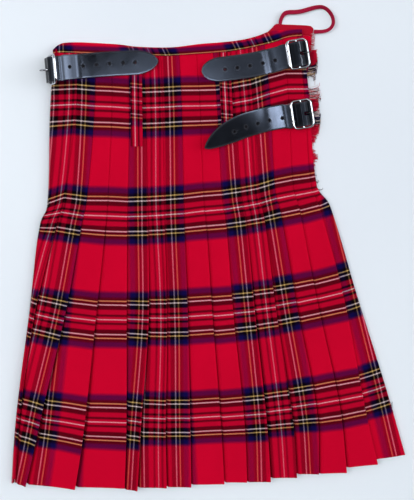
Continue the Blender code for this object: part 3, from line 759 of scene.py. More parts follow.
@dataclass(frozen=True)
class PlainFinish(Finish):
    """Closely woven wool in one colour: the tape, and the inside of the front band."""
    dark: Colour
    pale: Colour
    ribs: tuple[float, ...]         # pitch of the ribs over each way of the threads, or of one slanted rib
    fuzz: float = 1200.0
    rib_height: float = 0.25
    rough: float = 0.85
    gloss: float = 0.2

    def wire(self, nodes: Nodes, shader: Node) -> None:
        """Rib and roughen the cloth.

        Args:
            nodes: the nodes that are wired.
            shader: the material's Principled BSDF.
        """
        threads = nodes.uv("threads")
        ways = nodes.add("SeparateXYZ", Vector=threads).outputs[:2]
        if len(self.ribs) == 1:
            raised = nodes.wave(nodes.plus(*ways), TURN / (self.ribs[0] * MM))
        else:
            raised = nodes.plus(*(nodes.wave(way, TURN / (pitch * MM)) for way, pitch in zip(ways, self.ribs)))
        fuzz = nodes.noise(threads, self.fuzz, 3.0, 0.6)
        self.dress(nodes, shader, nodes.mix(fuzz, linear(self.dark), linear(self.pale)),
                   nodes.plus(nodes.times(raised, self.rib_height), fuzz), 0.15, Roughness=self.rough,
                   Specular_IOR_Level=self.gloss)


@dataclass(frozen=True)
class YarnFinish(Finish):
    """Loose wool yarn, coloured by the thread that it was drawn from."""
    lighten: float = 0.06
    bloom: Colour = (0.9, 0.7, 0.74)

    def wire(self, nodes: Nodes, shader: Node) -> None:
        """Colour the yarns from the chart and fuzz them.

        Args:
            nodes: the nodes that are wired.
            shader: the material's Principled BSDF.
        """
        yarn = yarn_at(nodes, nodes.add("SeparateXYZ", Vector=nodes.uv("threads")).outputs[1])
        fuzz = nodes.noise(nodes.add("TexCoord").outputs["Object"], 1500.0, 3.0, 0.7)
        pale = nodes.mix(self.lighten, yarn, self.bloom)
        self.dress(nodes, shader, nodes.shown(pale, nodes.plus(nodes.times(fuzz, 0.5), 0.72)), fuzz, 0.2,
                   Roughness=0.95, Specular_IOR_Level=0.1)


# ---- cloth -----------------------------------------------------------------------------
@dataclass(frozen=True)
class ClothPoint:
    """A point of cloth: its place in the draft and its warp and weft threads."""
    x: float
    y: float
    z: float
    warp: float
    weft: float


def cloth(name: str, rows: Sequence[Sequence[ClothPoint]], wall: float) -> Object:
    """Lay a thin shell of cloth through rows of points.

    Args:
        name: the piece's name.
        rows: rows of the same length, in order.
        wall: the cloth's thickness.

    Returns:
        The shell, whose UV map is the cloth's own threads in metres.
    """
    wide = len(rows[0])
    points = [p for row in rows for p in row]
    faces = [(r * wide + c, r * wide + c + 1, (r + 1) * wide + c + 1, (r + 1) * wide + c)
             for r in range(len(rows) - 1) for c in range(wide - 1)]
    piece = draped(name, [(p.x, p.y, p.z) for p in points], faces, [(p.warp, p.weft) for p in points])
    modify(piece, thicken(wall))
    smooth(piece, 55.0)
    return piece


def panel(name: str, across: Sequence[float], down: Sequence[float], point: Callable[[float, float], ClothPoint],
          wall: float, finish: Material) -> Object:
    """Make and dress a piece of cloth that stands for the solid of its name.

    Args:
        name: the solid's name.
        across: shares from the left side to the right side.
        down: shares from the top to the bottom.
        point: gives the point for a share across and a share down.
        wall: the cloth's thickness.
        finish: its material.

    Returns:
        The piece.
    """
    return fasten(cloth(name + "_cloth", [[point(a, d) for a in across] for d in down], wall), finish, name)


class Thread:
    """A line of the cloth's own length from the waist to the hem, such as a crease."""
    STEP = 4.0              # length of cloth between two heights
    BELOW_EDGE = 1.5        # where it starts, from the waistband's top

    def __init__(self, fold: Fold) -> None:
        """March down the crease, a fixed length of cloth at a time.

        Args:
            fold: the crease that it follows.
        """
        self.fold = fold
        self.heights = [waist_edge(self.x(0.0)) - self.BELOW_EDGE]
        for n in range(int(DROP / self.STEP)):
            lean = self.lean((n + 0.5) * self.STEP)
            self.heights.append(self.heights[-1] - self.STEP * math.sqrt(1 - lean * lean))

    def x(self, down: float) -> float:
        """Distance from the centre back."""
        return through(LEVELS, self.fold.places, down)

    def lean(self, down: float) -> float:
        """Sideways travel for each millimetre down the cloth."""
        return (self.x(down + 3.0) - self.x(down - 3.0)) / 6.0

    def y(self, down: float) -> float:
        """Height in the plan."""
        n = min(int(down / self.STEP), len(self.heights) - 2)
        return between(self.heights[n], self.heights[n + 1], down / self.STEP - n)


class Section:
    """One crease read at one level of the cloth."""
    HEM_DIP = (480.0, DROP)     # levels over which a tip drops
    FIRST_FACE = 20.0           # width of the leftmost face

    def __init__(self, thread: Thread, down: float, before: Optional["Section"] = None) -> None:
        """Read a thread once for all the points of a row.

        Args:
            thread: the crease.
            down: the level of the cloth.
            before: the crease on its left, to which its cross threads are sewn in the fell.
        """
        fold, self.down = thread.fold, down
        self.x, self.y, lean = thread.x(down), thread.y(down), thread.lean(down)
        self.lift, self.sag = through(LEVELS, fold.lift, down), through(WHITE_LINES, fold.sag, down)
        self.stretch = math.sqrt(1 - lean**2)
        self.slope, self.start = lean / self.stretch, (self.x - self.FIRST_FACE, self.sag)
        self.thread_here = fold.warp + through(LEVELS, fold.drift, down)
        self.dip = fold.dip * ease(*self.HEM_DIP, down)
        if before is not None:
            loose = ease(*FELL_ENDS, down)
            self.slope = between((self.y - before.y) / (self.x - before.x), self.slope, loose)
            self.start = (before.x, between(before.sag, self.sag, loose))

    def weft_y(self, x: float) -> float:
        """Height of the cross thread where it passes x."""
        return self.y + (x - self.x) * self.slope - self.dip

    def warp_at(self, x: float) -> float:
        """The warp thread that lies at x on the face that ends in this crease."""
        return self.thread_here - (self.x - x) / self.stretch

    def weft_at(self, x: float) -> float:
        """The cross thread, from the first white one, that lies at x on that face."""
        share = min(max((x - self.start[0]) / (self.x - self.start[0]), 0.0), 1.0)
        return self.down - FIRST_WEFT + between(self.start[1], self.sag, share)


@dataclass
class BackLines:
    """The lines that both the back and the aprons are laid by."""
    left: Thread = field(default_factory=lambda: Thread(LEFT_SIDE))
    right: Thread = field(default_factory=lambda: Thread(RIGHT_SIDE))
    creases: list[Thread] = field(default_factory=lambda: [Thread(fold) for fold in CREASES])


@dataclass
class PleatedBack(BackLines):
    """The pleated back: fourteen pressed creases, each lying on the face to its right."""
    rows: int = 102
    wall: float = 0.9
    tuck_share: float = 0.42
    tuck_range: Pair = (1.8, 12.0)
    waviness: float = 0.35
    waves: tuple[Pair, Pair] = ((19.0, 75.0), (8.0, 40.0))      # large and small ones: across, down
    under_band: float = 2.4             # the back ends this far under the waistband's edge
    climb_sewn: Pair = (-0.6, 1.6)      # where a face climbs onto the fold on its left, in the fell
    climb_free: Pair = (0.1, 4.5)       # and below it

    def unevenness(self, x: float, y: float, down: float) -> float:
        """Soft waves of the pressed cloth, stronger towards the hem.

        Args:
            x: distance from the centre back.
            y: height in the plan.
            down: the level of the cloth.

        Returns:
            The rise at that place.
        """
        (wide, long), (narrow, short) = self.waves
        strength = self.waviness * ease(120.0, 500.0, down) + 0.12
        return strength * (grain(x / wide, y / long) + 0.5 * grain(x / narrow, y / short, 3.0))

    def point(self, at: Section, x: float, z: float, warp: float, bulged: float = 1.0) -> ClothPoint:
        """Place one point of a row on its cross thread."""
        y = min(at.weft_y(x), waist_edge(x) - self.under_band)
        return ClothPoint(x, y, z + bulged * bulge(x, y), warp, at.weft_at(x))

    def side_roll(self, at: Section, low: float, outward: int) -> list[ClothPoint]:
        """The half round in which the cloth turns under at a side.

        Args:
            at: the side's section.
            low: level of the cloth under it.
            outward: 1 at the right side and -1 at the left.

        Returns:
            The points, from the fold under the side up to the back's face.
        """
        radius = (LOW_LEVEL - low) / 2
        centre = at.x - outward * (radius + BACK_WALL / 2)
        turn = [(centre - outward * 1.5, low, -1.5)]
        turn += [(centre + outward * radius * math.sin(a), (low + LOW_LEVEL) / 2 - radius * math.cos(a), radius * a)
                 for a in (math.pi * n / 8 for n in range(9))]
        end = at.warp_at(centre)
        return [self.point(at, x, z, end + outward * (math.pi * radius - run), (z - low) / (LOW_LEVEL - low))
                for x, z, run in turn]

    def pleat(self, at: Section, start: float, hidden: float, down: float) -> tuple[list[ClothPoint], float]:
        """One face, its crease and the fold behind it.

        Args:
            at: the crease.
            start: where the face comes out from under the crease on its left.
            hidden: where it starts under that crease.
            down: the level of the cloth.

        Returns:
            The points, and where the next face starts under this crease.
        """
        radius, top = LAYER_PITCH / 2, HIGH_LEVEL + at.lift
        tuck = min(max((at.x - start) * self.tuck_share, self.tuck_range[0]), self.tuck_range[1])
        inner, loose = at.x - tuck, ease(*FELL_ENDS, down)
        climb = [start + between(sewn, free, loose) for sewn, free in zip(self.climb_sewn, self.climb_free)]
        made = [self.point(at, hidden, LOW_LEVEL, at.warp_at(hidden))]
        for share in FACE_SHARES:
            x = between(start + 0.2, at.x - radius, share)
            rise = ease(climb[0], min(climb[1], between(start, at.x, 0.5)), x)
            swell = ((x - start) / (at.x - start)) ** 3
            z = LOW_LEVEL + (HIGH_LEVEL - LOW_LEVEL) * rise + at.lift * (0.25 * rise + 0.75 * swell)
            wave = self.unevenness(x, at.weft_y(x), down) * math.sin(math.pi * share)
            made.append(self.point(at, x, z + wave, at.warp_at(x)))
        for angle in range(30, 181, 30):
            a = math.radians(angle)
            made.append(self.point(at, at.x - radius + radius * math.sin(a), top - radius + radius * math.cos(a),
                                   at.warp_at(at.x - radius) + radius * a))
        back = at.warp_at(at.x) + 1.0 + tuck
        for out, level, run in ((1.0, LAYER_PITCH, -2 * radius), (0.3, 1.7 * radius, -radius), (0.0, radius, 0.0),
                                (0.3, 0.3 * radius, radius)):
            made.append(self.point(at, inner + out * radius, LOW_LEVEL + level, back + run))
        return made, inner + radius

    def row(self, down: float) -> list[ClothPoint]:
        """All the points across the back at one level of the cloth.

        Args:
            down: the level of the cloth.

        Returns:
            The points, from left to right.
        """
        at = Section(self.left, down)
        row = self.side_roll(at, APRON_WALL / 2, -1)
        start, hidden = row[-1].x, row[-1].x + 0.8
        for thread in self.creases:
            at = Section(thread, down, at)
            pleat, hidden = self.pleat(at, start, hidden, down)
            row += pleat
            start = at.x
        right = Section(self.right, down, at)
        row.append(self.point(right, hidden, LOW_LEVEL, right.warp_at(hidden)))
        roll = self.side_roll(right, UNDER_LEVEL, 1)[::-1]
        for share in FACE_SHARES:
            x = between(start + 0.2, roll[0].x - 0.5, share)
            z = LOW_LEVEL + 0.9 * math.sin(math.pi * share) ** 0.8
            wave = self.unevenness(x, right.weft_y(x), down) * share * (1 - share) * 4
            row.append(self.point(right, x, z + wave, right.warp_at(x)))
        return row + roll

    def build(self, finish: Material) -> None:
        """Make and dress the back.

        Args:
            finish: its material.
        """
        rows = [self.row(down) for down in steps(0.0, DROP, self.rows)]
        piece = fasten(cloth("pleated_back_cloth", rows, self.wall), finish, "pleated_back")
        run = [sum(math.dist((a.x, a.y, a.z), (b.x, b.y, b.z)) * MM for a, b in zip(row, row[1:]))
               for row in (rows[0], rows[len(rows) // 2], rows[-1])]


# ---- the flat panels, the bands and the belt loops ---------------------------------------
@dataclass
class Aprons(BackLines):
    """The two front panels under the back, and the band along the over apron's top."""
    band_width: float = 13.0
    hem_inset: float = 6.0
    over_hem: float = -284.0            # the over apron's lower edge, where the back's hem leaves room
    side_gap: float = 3.0 + 2 * SEAM + LOW_LEVEL / 2
    under_sides: Pair = (16.0, -3.4)    # the under apron's sides, from the back's
    under_top: float = 9.0
    over_wall: float = APRON_WALL - 0.2
    under_wall: float = UNDER_WALL - 0.1

    def __post_init__(self) -> None:
        """Read where the back's hem runs."""
        self.hem = [(line.x(DROP), line.y(DROP)) for line in (self.left, *self.creases, self.right)]

    def front_top(self, x: float) -> float:
        """Top of the front band, which shows at one corner alone."""
        return along(APRON_CORNER, x) if x >= APRON_CORNER[0][0] else waist_edge(x) - 2.5

    def left_x(self, y: float) -> float:
        """Place of the back's left side at a height of the plan."""
        heights = self.left.heights
        return self.left.x(through([-h for h in heights], [n * Thread.STEP for n in range(len(heights))], -y))

    def over(self, finish: Material) -> None:
        """Make the over apron: flat on the table, its right edge cut along a thread.

        Args:
            finish: its material.
        """
        below = self.band_width + SEAM

        def point(a: float, d: float) -> ClothPoint:
            """One point of the panel.

            Args:
                a: share across, from the left.
                d: share down, from the top.

            Returns:
                The point.
            """
            y = between(self.front_top(120.0) - below, self.over_hem, d)
            low_x, high_x = self.left_x(min(y, 262.0)) + self.side_gap, free_edge(y)
            x = between(low_x, high_x, a)
            y = max(min(y, self.front_top(x) - below), along(self.hem, x) + self.hem_inset)
            wave = 0.45 * ease(120.0, 135.0, x) * (grain(x / 14.0, y / 17.0, 7.0) + 0.4)
            return ClothPoint(x, y, APRON_WALL / 2 + max(wave, 0.0), 60.0 + high_x - x,
                              FIRST_LINE - y + 0.05 * (high_x - x))

        across = steps(0.0, 0.85, 22)[:-1] + steps(0.85, 1.0, 24)
        piece = panel("over_apron", across, steps(0.0, 1.0, 150), point, self.over_wall, finish)

    def under(self, finish: Material) -> None:
        """Make the under apron, between the over apron and the back.

        Args:
            finish: its material.
        """
        def point(a: float, d: float) -> ClothPoint:
            """One point of the panel.

            Args:
                a: share across, from the left.
                d: share down, from the top.

            Returns:
                The point.
            """
            down = between(10.0, DROP - self.hem_inset, d)
            sides = Section(self.left, down), Section(self.right, down)
            ends = [side.x + inset for side, inset in zip(sides, self.under_sides)]
            x = between(*ends, a)
            y = between(*(side.weft_y(end) for side, end in zip(sides, ends)), a)
            middle = along(self.hem, x) + self.hem_inset
            sunk = (middle - between(sides[0].y, sides[1].y, a)) * ease(300.0, DROP, down)
            y = between(y, y + sunk, 4 * a * (1 - a))
            y = max(y, middle) if down > 560.0 else y
            return ClothPoint(x, min(y, waist_edge(x) - self.under_top), UNDER_LEVEL, x, down - FIRST_WEFT)

        piece = panel("under_apron", steps(0.0, 1.0, 30), steps(0.0, 1.0, 50), point, self.under_wall, finish)

    def band(self, finish: Material) -> None:
        """Make the front band, whose plain side faces up at the corner.

        Args:
            finish: its material.
        """
        def point(a: float, d: float) -> ClothPoint:
            """One point of the band.

            Args:
                a: share across, from the left.
                d: share down, from the top.

            Returns:
                The point.
            """
            x = between(self.left.x(0.0) + self.side_gap, between(142.0, 140.0, d), a)
            top = self.front_top(x)
            y = between(top, top - self.band_width, d)
            bow = 0.5 * math.sin(math.pi * d) * ease(60.0, 90.0, x)
            return ClothPoint(x, y, APRON_WALL / 2 + bow + 0.3 * max(grain(x / 9.0, y / 9.0, 2.0), 0.0), x, y - top)

        across = steps(0.0, 0.8, 16)[:-1] + steps(0.8, 1.0, 40)
        piece = panel("waistband_front", across, steps(0.0, 1.0, 8), point, self.over_wall, finish)


@dataclass
class Waistband:
    """The narrow strip bound over the back's top edge."""
    chart_start: float = 24.3       # weft thread at its lower edge
    pivot: float = -77.1            # where a white warp line crosses it
    stretch: float = 1.035
    gather: float = 1.6             # weft threads are this much closer, for the strip rolls over
    lean: float = 0.5               # its warp threads slant, but for its left end
    wall: float = 1.1
    # how it rolls over its top: distances below the edge, with the rise
    top_roll: tuple[Pair, ...] = ((2.2, 0.0), (1.2, -0.35), (0.7, -1.0), (0.55, -1.9), (0.6, -3.0), (0.8, -3.9))

    def section(self, x: float) -> list[Pair]:
        """Heights in the plan and rises of the strip where it passes x.

        Args:
            x: distance from the centre back.

        Returns:
            Height in the plan and rise of each point.
        """
        top, low = waist_edge(x), along(BAND_EDGE, x)
        tall, soft = top - low, 0.25 * grain(x / 11.0, 0.0, 5.0)
        return [(low, -0.25), (low + 0.9, 0.15 + 0.3 * soft), (low + 0.3 * tall, 0.25 + soft),
                (low + 0.55 * tall, 0.35 + soft), (low + 0.75 * tall, 0.2),
                *((top - below, rise) for below, rise in self.top_roll)]

    def row(self, x: float, run: float) -> list[ClothPoint]:
        """The strip's points where it passes x, after a run of cloth.

        Args:
            x: distance from the centre back.
            run: the cloth's length so far.

        Returns:
            The points, from the bottom up.
        """
        step = HIGH_LEVEL - LOW_LEVEL
        drop = step * (1 - ease(-206.0, -190.0, x)) + (step - 0.7) * ease(119.0, 122.5, x)
        level, section = BACK_TOP + SEAM + BAND_WALL / 2 - drop, self.section(x)
        made = []
        for (y, rise), up in zip(section, reaches(section)):
            z = max(level + rise, LOW_LEVEL - 0.4) + bulge(x, y) * min(max(1 + rise / 4.0, 0.0), 1.0)
            slant = self.lean * ease(-190.0, -130.0, x) * (up - 5.0)
            made.append(ClothPoint(x, y, z, run + slant, self.chart_start + up * self.gather))
        return made

    def build(self, finish: Material) -> None:
        """Make and dress the strip.

        Args:
            finish: its material.
        """
        xs = steps(-204.8, -190.0, 10)[:-1] + steps(-190.0, 117.0, 110)[:-1] + steps(117.0, 126.2, 12)
        rows = [self.row(x, run) for x, run in zip(xs, reaches([(x, waist_edge(x)) for x in xs]))]
        shift = through(xs, [row[0].warp + 5.0 * self.lean for row in rows], self.pivot)
        rows = [[ClothPoint(p.x, p.y, p.z, (p.warp - shift) * self.stretch, p.weft) for p in row] for row in rows]
        piece = fasten(cloth("waistband_back_cloth", rows, self.wall), finish, "waistband_back")


@dataclass(frozen=True)
class LoopPlace:
    """Where a belt loop hangs: its side, its top, how it leans and where its white line runs."""
    side: str
    x: float
    top: float
    lean: float
    white: float


@dataclass
class BeltLoops:
    """Two upright strips, sewn at both ends."""
    width: float = 15.5
    length: float = 120.0
    bow: float = 0.9
    wall: float = 1.1
    middle_weft: float = 202.5
    gather: Pair = (1.2, 1.17)      # its warp and weft threads are this much closer
    slant: float = 0.12
    places: tuple[LoopPlace, ...] = (LoopPlace("left", -94.7, 262.0, 0.0, -2.0),
                                     LoopPlace("right", 25.7, 266.0, 0.05, -1.2))

    def build(self, finish: Material) -> None:
        """Make and dress both loops.

        Args:
            finish: its material.
        """
        for place in self.places:
            def point(a: float, d: float) -> ClothPoint:
                """One point of a loop: its sides are folded under, so they are rounded.

                Args:
                    a: share across, from the left.
                    d: share down, from the top.

                Returns:
                    The point.
                """
                side = between(-1.0, 1.0, a)
                off, y = side * self.width / 2, place.top - self.length * d
                x = place.x + off + place.lean * (place.top - self.length / 2 - y)
                arch = self.bow * ease(0.02, 0.25, d) * (1 - ease(0.85, 1.0, d))
                z = BACK_TOP + SEAM + 0.6 + arch - 0.5 * abs(side) ** 6 + 0.15 * grain(x / 6.0, y / 12.0, 4.0)
                return ClothPoint(x, y, z, (off - place.white) * self.gather[0],
                                  (self.middle_weft - y) * self.gather[1] - off * self.slant)

            across = [0.0, 0.03, 0.08, *steps(0.16, 0.84, 8), 0.92, 0.97, 1.0]
            piece = panel(f"belt_loop_{place.side}", across, steps(0.0, 1.0, 60), point, self.wall, finish)


# ---- yarns, fringe and tape ----------------------------------------------------------------
class Skein:
    """Gathers many thin round or flat lengths into one mesh with a UV along each."""
    FEW_SIDES = 6                   # a length with more sides is squared
    SQUARED = (0.55, 0.8)           # how far, across and up

    def __init__(self) -> None:
        """Start with nothing wound."""
        self.points: list[Vector] = []
        self.faces: list[tuple[int, ...]] = []
        self.threads: list[Pair] = []

    def wind(self, route: Sequence[Vector], wide: Callable[[float], float], thick: Callable[[float], float],
             turn: Callable[[float], float] = lambda t: 0.0, sides: int = 4, weft: Optional[float] = None) -> None:
        """Run one length along its route.

        Args:
            route: its middle points in the draft.
            wide: its width at a share of its length.
            thick: its thickness at a share of its length.
            turn: its twist about its own line, in radians, at a share of its length.
            sides: how many sides it has.
            weft: the thread of the tartan that gives its colour, or none where v goes round it.
        """
        first, final = len(self.points), len(route) - 1
        for n, (place, run_so_far) in enumerate(zip(route, reaches(route))):
            share = n / final
            run = (route[min(n + 1, final)] - route[max(n - 1, 0)]).normalized()
            side = run.cross(Vector((0.0, 0.0, 1.0))).normalized()
            side.rotate(Matrix.Rotation(turn(share), 3, run))
            up = side.cross(run)
            for k in range(sides):
                c, s = math.cos(math.tau * k / sides), math.sin(math.tau * k / sides)
                if sides > self.FEW_SIDES:
                    c, s = (math.copysign(abs(v) ** power, v) for v, power in zip((c, s), self.SQUARED))
                self.points.append(place + side * c * wide(share) / 2 + up * s * thick(share) / 2)
                self.threads.append((run_so_far, weft if weft is not None else c * wide(share) / 2))
        last = first + final * sides
        self.faces += [(first + n * sides + k, first + (n + 1) * sides + k, first + (n + 1) * sides + (k + 1) % sides,
                        first + n * sides + (k + 1) % sides) for n in range(final) for k in range(sides)]
        self.faces += [tuple(range(first, first + sides)), tuple(range(last + sides - 1, last - 1, -1))]

    def make(self, name: str) -> Object:
        """Turn all that was wound into one object.

        Args:
            name: the object's name.

        Returns:
            The object.
        """
        piece = draped(name, self.points, self.faces, self.threads)
        settle(piece.data, merge=False)
        smooth(piece, 60.0)
        return piece


PALE_MIX = (20.6, 0.3, 50, 50)      # threads of the tartan that lend their colour
DARK_MIX = (16.5, 16.5, 16.5, 35, 35, 20.6, 26)


@dataclass(frozen=True)
class Tuft:
    """A stretch of the frayed edge: its top and bottom, how far it reaches, how it lies and its threads' colours."""
    top: float
    bottom: float
    reach: float
    yarns: int
    curl: float = 0.3
    spread: float = 1.5
    mixed: tuple[float, ...] = ()
    fine: float = 1.0


@dataclass
class Fringe:
    """The over apron's frayed edge: cross yarns drawn out, matted into tufts."""
    yarn: float = 0.9
    seed: int = 5
    rooted: float = 2.0             # length of each yarn inside the cloth
    reaching: Pair = (0.72, 1.05)   # shares of a tuft's reach
    fanning: Pair = (-0.25, 0.1)
    lifting: Pair = (0.2, 2.4)      # rise of a yarn's middle
    starting: Pair = (0.75, 1.7)    # height of its root
    floor: float = 0.45             # lowest middle of a yarn
    curling: float = 1.2            # angle of its arc
    waving: float = 0.35
    taper: float = 0.45
    points: int = 7
    tufts: tuple[Tuft, ...] = (
        Tuft(292, 270, 4.4, 44, 0.5, 1.5, (20.6, 50, 50), 0.5), Tuft(269.5, 249, 7.6, 120, 0.25, 0.8),
        Tuft(249.5, 236.5, 9.5, 64, 1.4, 2, DARK_MIX), Tuft(236, 220, 1.8, 8, 0.3, 1),
        Tuft(219.5, 205, 14.5, 46, 1.2, 4.5, (*PALE_MIX, 16.5), 0.6),
        Tuft(205, 188.5, 11, 100, 0.3, 1.2, (50, 50, 50, 16.5)),
        Tuft(188.5, 180, 11.5, 32, 0.9, 2, (20.6, 0.3, 16.5), 0.8),
        Tuft(181, 169.5, 13, 52, 0.7, 1.8, DARK_MIX), Tuft(170.5, 158, 13, 76, 0.3, 1.2, (50,)),
        Tuft(159, 147, 11, 50, 0.3, 1.2, (50,)), Tuft(147, 137, 9.5, 24, 0.6, 2, PALE_MIX, 0.6),
        Tuft(137, 130, 12.5, 34, 0.3, 1.2), Tuft(130.5, 123, 15.5, 44, 0.3, 1),
        Tuft(123, 112, 11, 34), Tuft(106, 102.5, 12, 3, 0.5, 0.8, (16.5,)),
        Tuft(94.5, 91.5, 13.5, 3, 0.5, 0.8, (16.5,)), Tuft(84, 82, 15, 3, 0.5, 0.5, (16.5,)),
        Tuft(112, -282, 3.2, 130, 0.4))

    def route(self, tuft: Tuft, n: int, y: float, draw: random.Random) -> list[Vector]:
        """Where one yarn of a tuft lies.

        Args:
            tuft: the tuft.
            n: the yarn's number in it.
            y: height in the plan where it leaves the cloth.
            draw: gives the random numbers, always in the same order.

        Returns:
            The yarn's middle points.
        """
        reach = tuft.reach * draw.uniform(*self.reaching) + self.rooted
        fan = (y - between(tuft.top, tuft.bottom, 0.5)) * draw.uniform(*self.fanning) + draw.gauss(0.0, tuft.spread)
        bend, lift = draw.gauss(0.0, tuft.curl * 4.0), draw.uniform(*self.lifting)
        base, start = draw.uniform(*self.starting), free_edge(y) - self.rooted
        made = []
        for t in steps(0.0, 1.0, self.points - 1):
            out = reach * math.sin(t * (self.curling + 0.6 * min(tuft.curl, 1.0))) / math.sin(self.curling)
            wiggle = bend * t * t + self.waving * math.sin(5.0 * t + n)
            z = base + lift * math.sin(math.pi * t * 0.9) - (base - self.floor) * t * t
            made.append(Vector((start + min(out, reach), y + fan * t + wiggle, max(z, self.floor))))
        return made

    def build(self, finish: Material) -> None:
        """Make and dress the fringe.

        Args:
            finish: its material.
        """
        draw, skein = random.Random(self.seed), Skein()
        for tuft in self.tufts:
            def thick(t: float) -> float:
                """Thickness of a yarn at a share of its length."""
                return self.yarn * tuft.fine * (1.0 - self.taper * t)

            for n in range(tuft.yarns):
                y = between(tuft.top, tuft.bottom, (n + draw.random()) / tuft.yarns)
                route = self.route(tuft, n, y, draw)
                skein.wind(route, thick, thick, weft=draw.choice(tuft.mixed) if tuft.mixed else FIRST_LINE - y)
        fasten(skein.make("fringe_yarns"), finish, "apron_fringe")


HANGER_ROUTE = ((97.4, 303.9, 1.35), (98.4, 309, 2.2), (100.6, 314, 3.4), (103.9, 317.4, 4),
                (109, 318.6, 4.4), (116.5, 318.8, 4.6), (124, 319.6, 4.6), (131, 321.3, 4.4),
                (138, 323.4, 4.2), (145.5, 325.1, 4), (152.5, 325.4, 3.8), (158.6, 322.8, 3.6),
                (163.6, 318, 3.4), (167.2, 311.5, 3.2), (168, 304.6, 3), (165.4, 299, 2.8),
                (160.6, 295.6, 2.5), (154.1, 294.1, 2.1), (148, 293.9, 1.6), (142.6, 293.9, 1.35))


@dataclass
class HangerLoop:
    """A narrow woven tape that leaves the apron's corner and goes back into it."""
    width: float = 5.6
    wall: float = 1.1
    points: int = 90
    twist: tuple[float, ...] = (0.6, 0.5, 0.4, 0.2, 0.1, 0, 0, 0.1, 0.3, 0.5, 0.65, 0.75, 0.75, 0.75, 0.75, 0.7,
                                0.6, 0.5, 0.4, 0.2)

    def build(self, finish: Material) -> None:
        """Make and dress the tape.

        Args:
            finish: its material.
        """
        knots = list(range(len(HANGER_ROUTE)))
        route = [read(knots, HANGER_ROUTE, at) for at in steps(0.0, knots[-1], self.points)]

        def turn(t: float) -> float:
            """The tape's twist at a share of its length."""
            return through(knots, self.twist, t * knots[-1])

        for n, place in enumerate(route):
            place.z = max(place.z, self.width / 2 * math.sin(turn(n / self.points)) + 0.6 * self.wall)
        skein = Skein()
        skein.wind(route, lambda t: self.width, lambda t: self.wall, turn, sides=12)
        piece = fasten(skein.make("hanger_tape"), finish, "hanger_loop")
        path = [tuple(placed(p)) for p in route]
        round(reaches(route)[-1] * MM, 4)


# ---- leather and metal ---------------------------------------------------------------------
STRAP_WALL, STRAP_WIDTH = 2.5, 32.0
WIRE, BAR = 1.7, 1.4
FRAME_HALF = (13.3, WIRE + SEAM + STRAP_WIDTH / 2)
FRAME_LEVEL = BACK_TOP + 6.4
NO_HIGHLIGHT_LINE = 99.0        # a painted highlight line too far off to show
# routes in a buckle's own plane: distance along it from its bar, and out of it
OVER_BAR = ((-19.8, -3.5), (-13.3, -3.5), (-9.6, -3.2), (-5.9, 0.5), (-3.2, 3.5), (0, 4.3), (3.2, 3.7))
UNDER_WIRE = ((-12, -7.6), (-10.8, -4.6))   # a strap that climbs to a tilted frame
BAR_STATION = 5                             # where OVER_BAR crosses the bar
SIDE_ROOT = ((7.7, 0.2), (11.4, -3.3), (14.2, -4.3), (15.5, -6.6), (15.9, -11.2))
WRAPPED_ROOT = ((8, 3.8), (13.3, 3.7), (16, 2.7), (16.9, 0.8))
ROUND_BAR = ((0.8, -3), (2.2, 0), (1.56, 1.56), (0, 2.2), (-1.8, 1.5), (-4.2, -1.2), (-6.2, -3.4))
LEVEL_TAB = ((-21, -5.6), (-12, -5.6), (-4, -5.4), *ROUND_BAR)
TURNED_TAB = ((-4.8, -16.4), (-6.4, -11), (-4.6, -6.6), (0.6, -3), *ROUND_BAR[1:])
CURL = ((-3.05, 0.65), (-2.35, -2.05), (0, -3.17), (2.35, -2.05))


class ProngLay(Enum):
    """How a buckle's prong lies: its route in the buckle's own plane."""
    FASTENED = (*CURL, (3.35, 0.4), (5.1, 2.5), (7.2, 3.5), (13.3, 3.3), (17.6, 2.6))
    LOOSE = (*CURL, (3.35, 1), (3.7, 5), (4.9, 10), (7, 15))


@dataclass(frozen=True)
class Station:
    """A place on a strap's middle, the way the strap heads there, and how far its near edge is turned down."""
    x: float
    y: float
    rise: float
    heading: float
    roll: float = 0.0


# the slot for the prong: its middle past the bar, and how much longer than wide it is
SLOTS = {ProngLay.FASTENED: (7.0, 5.4), ProngLay.LOOSE: (3.6, 0.6)}


@dataclass(frozen=True)
class StrapPlan:
    """One strap from its tip to its buckle."""
    tail: tuple[Station, ...]
    buckle: Pair
    heading: float
    tip_length: float
    tip_shape: float
    holes: tuple[float, ...]
    tilt: float = 0.0
    prong: ProngLay = ProngLay.FASTENED
    root: tuple[Pair, ...] = SIDE_ROOT
    tab: tuple[Pair, ...] = LEVEL_TAB
    broad_bar: float = 1.65     # width of the bar nearest the tip, against the wire's
    hole_line: float = 0.0      # how far the holes are off the strap's middle
    over: tuple[Pair, ...] = OVER_BAR       # how it passes the frame and the bar
    bend: float = -NO_HIGHLIGHT_LINE    # where a pale highlight line is painted on the crest, from the buckle's bar toward the tip

    def frame(self) -> Matrix:
        """Matrix from the buckle's own plane (along, across, out) to the draft.

        Returns:
            The matrix.
        """
        heading, tilt = math.radians(self.heading), math.radians(self.tilt)
        level = WIRE + 4.0 + FRAME_HALF[0] * math.sin(tilt) if self.tilt else FRAME_LEVEL
        along_it = Vector((math.cos(heading) * math.cos(tilt), math.sin(heading) * math.cos(tilt), -math.sin(tilt)))
        across = Vector((-math.sin(heading), math.cos(heading), 0.0))
        matrix = Matrix((along_it, across, along_it.cross(across))).transposed().to_4x4()
        matrix.translation = Vector((*self.buckle, level))
        return matrix


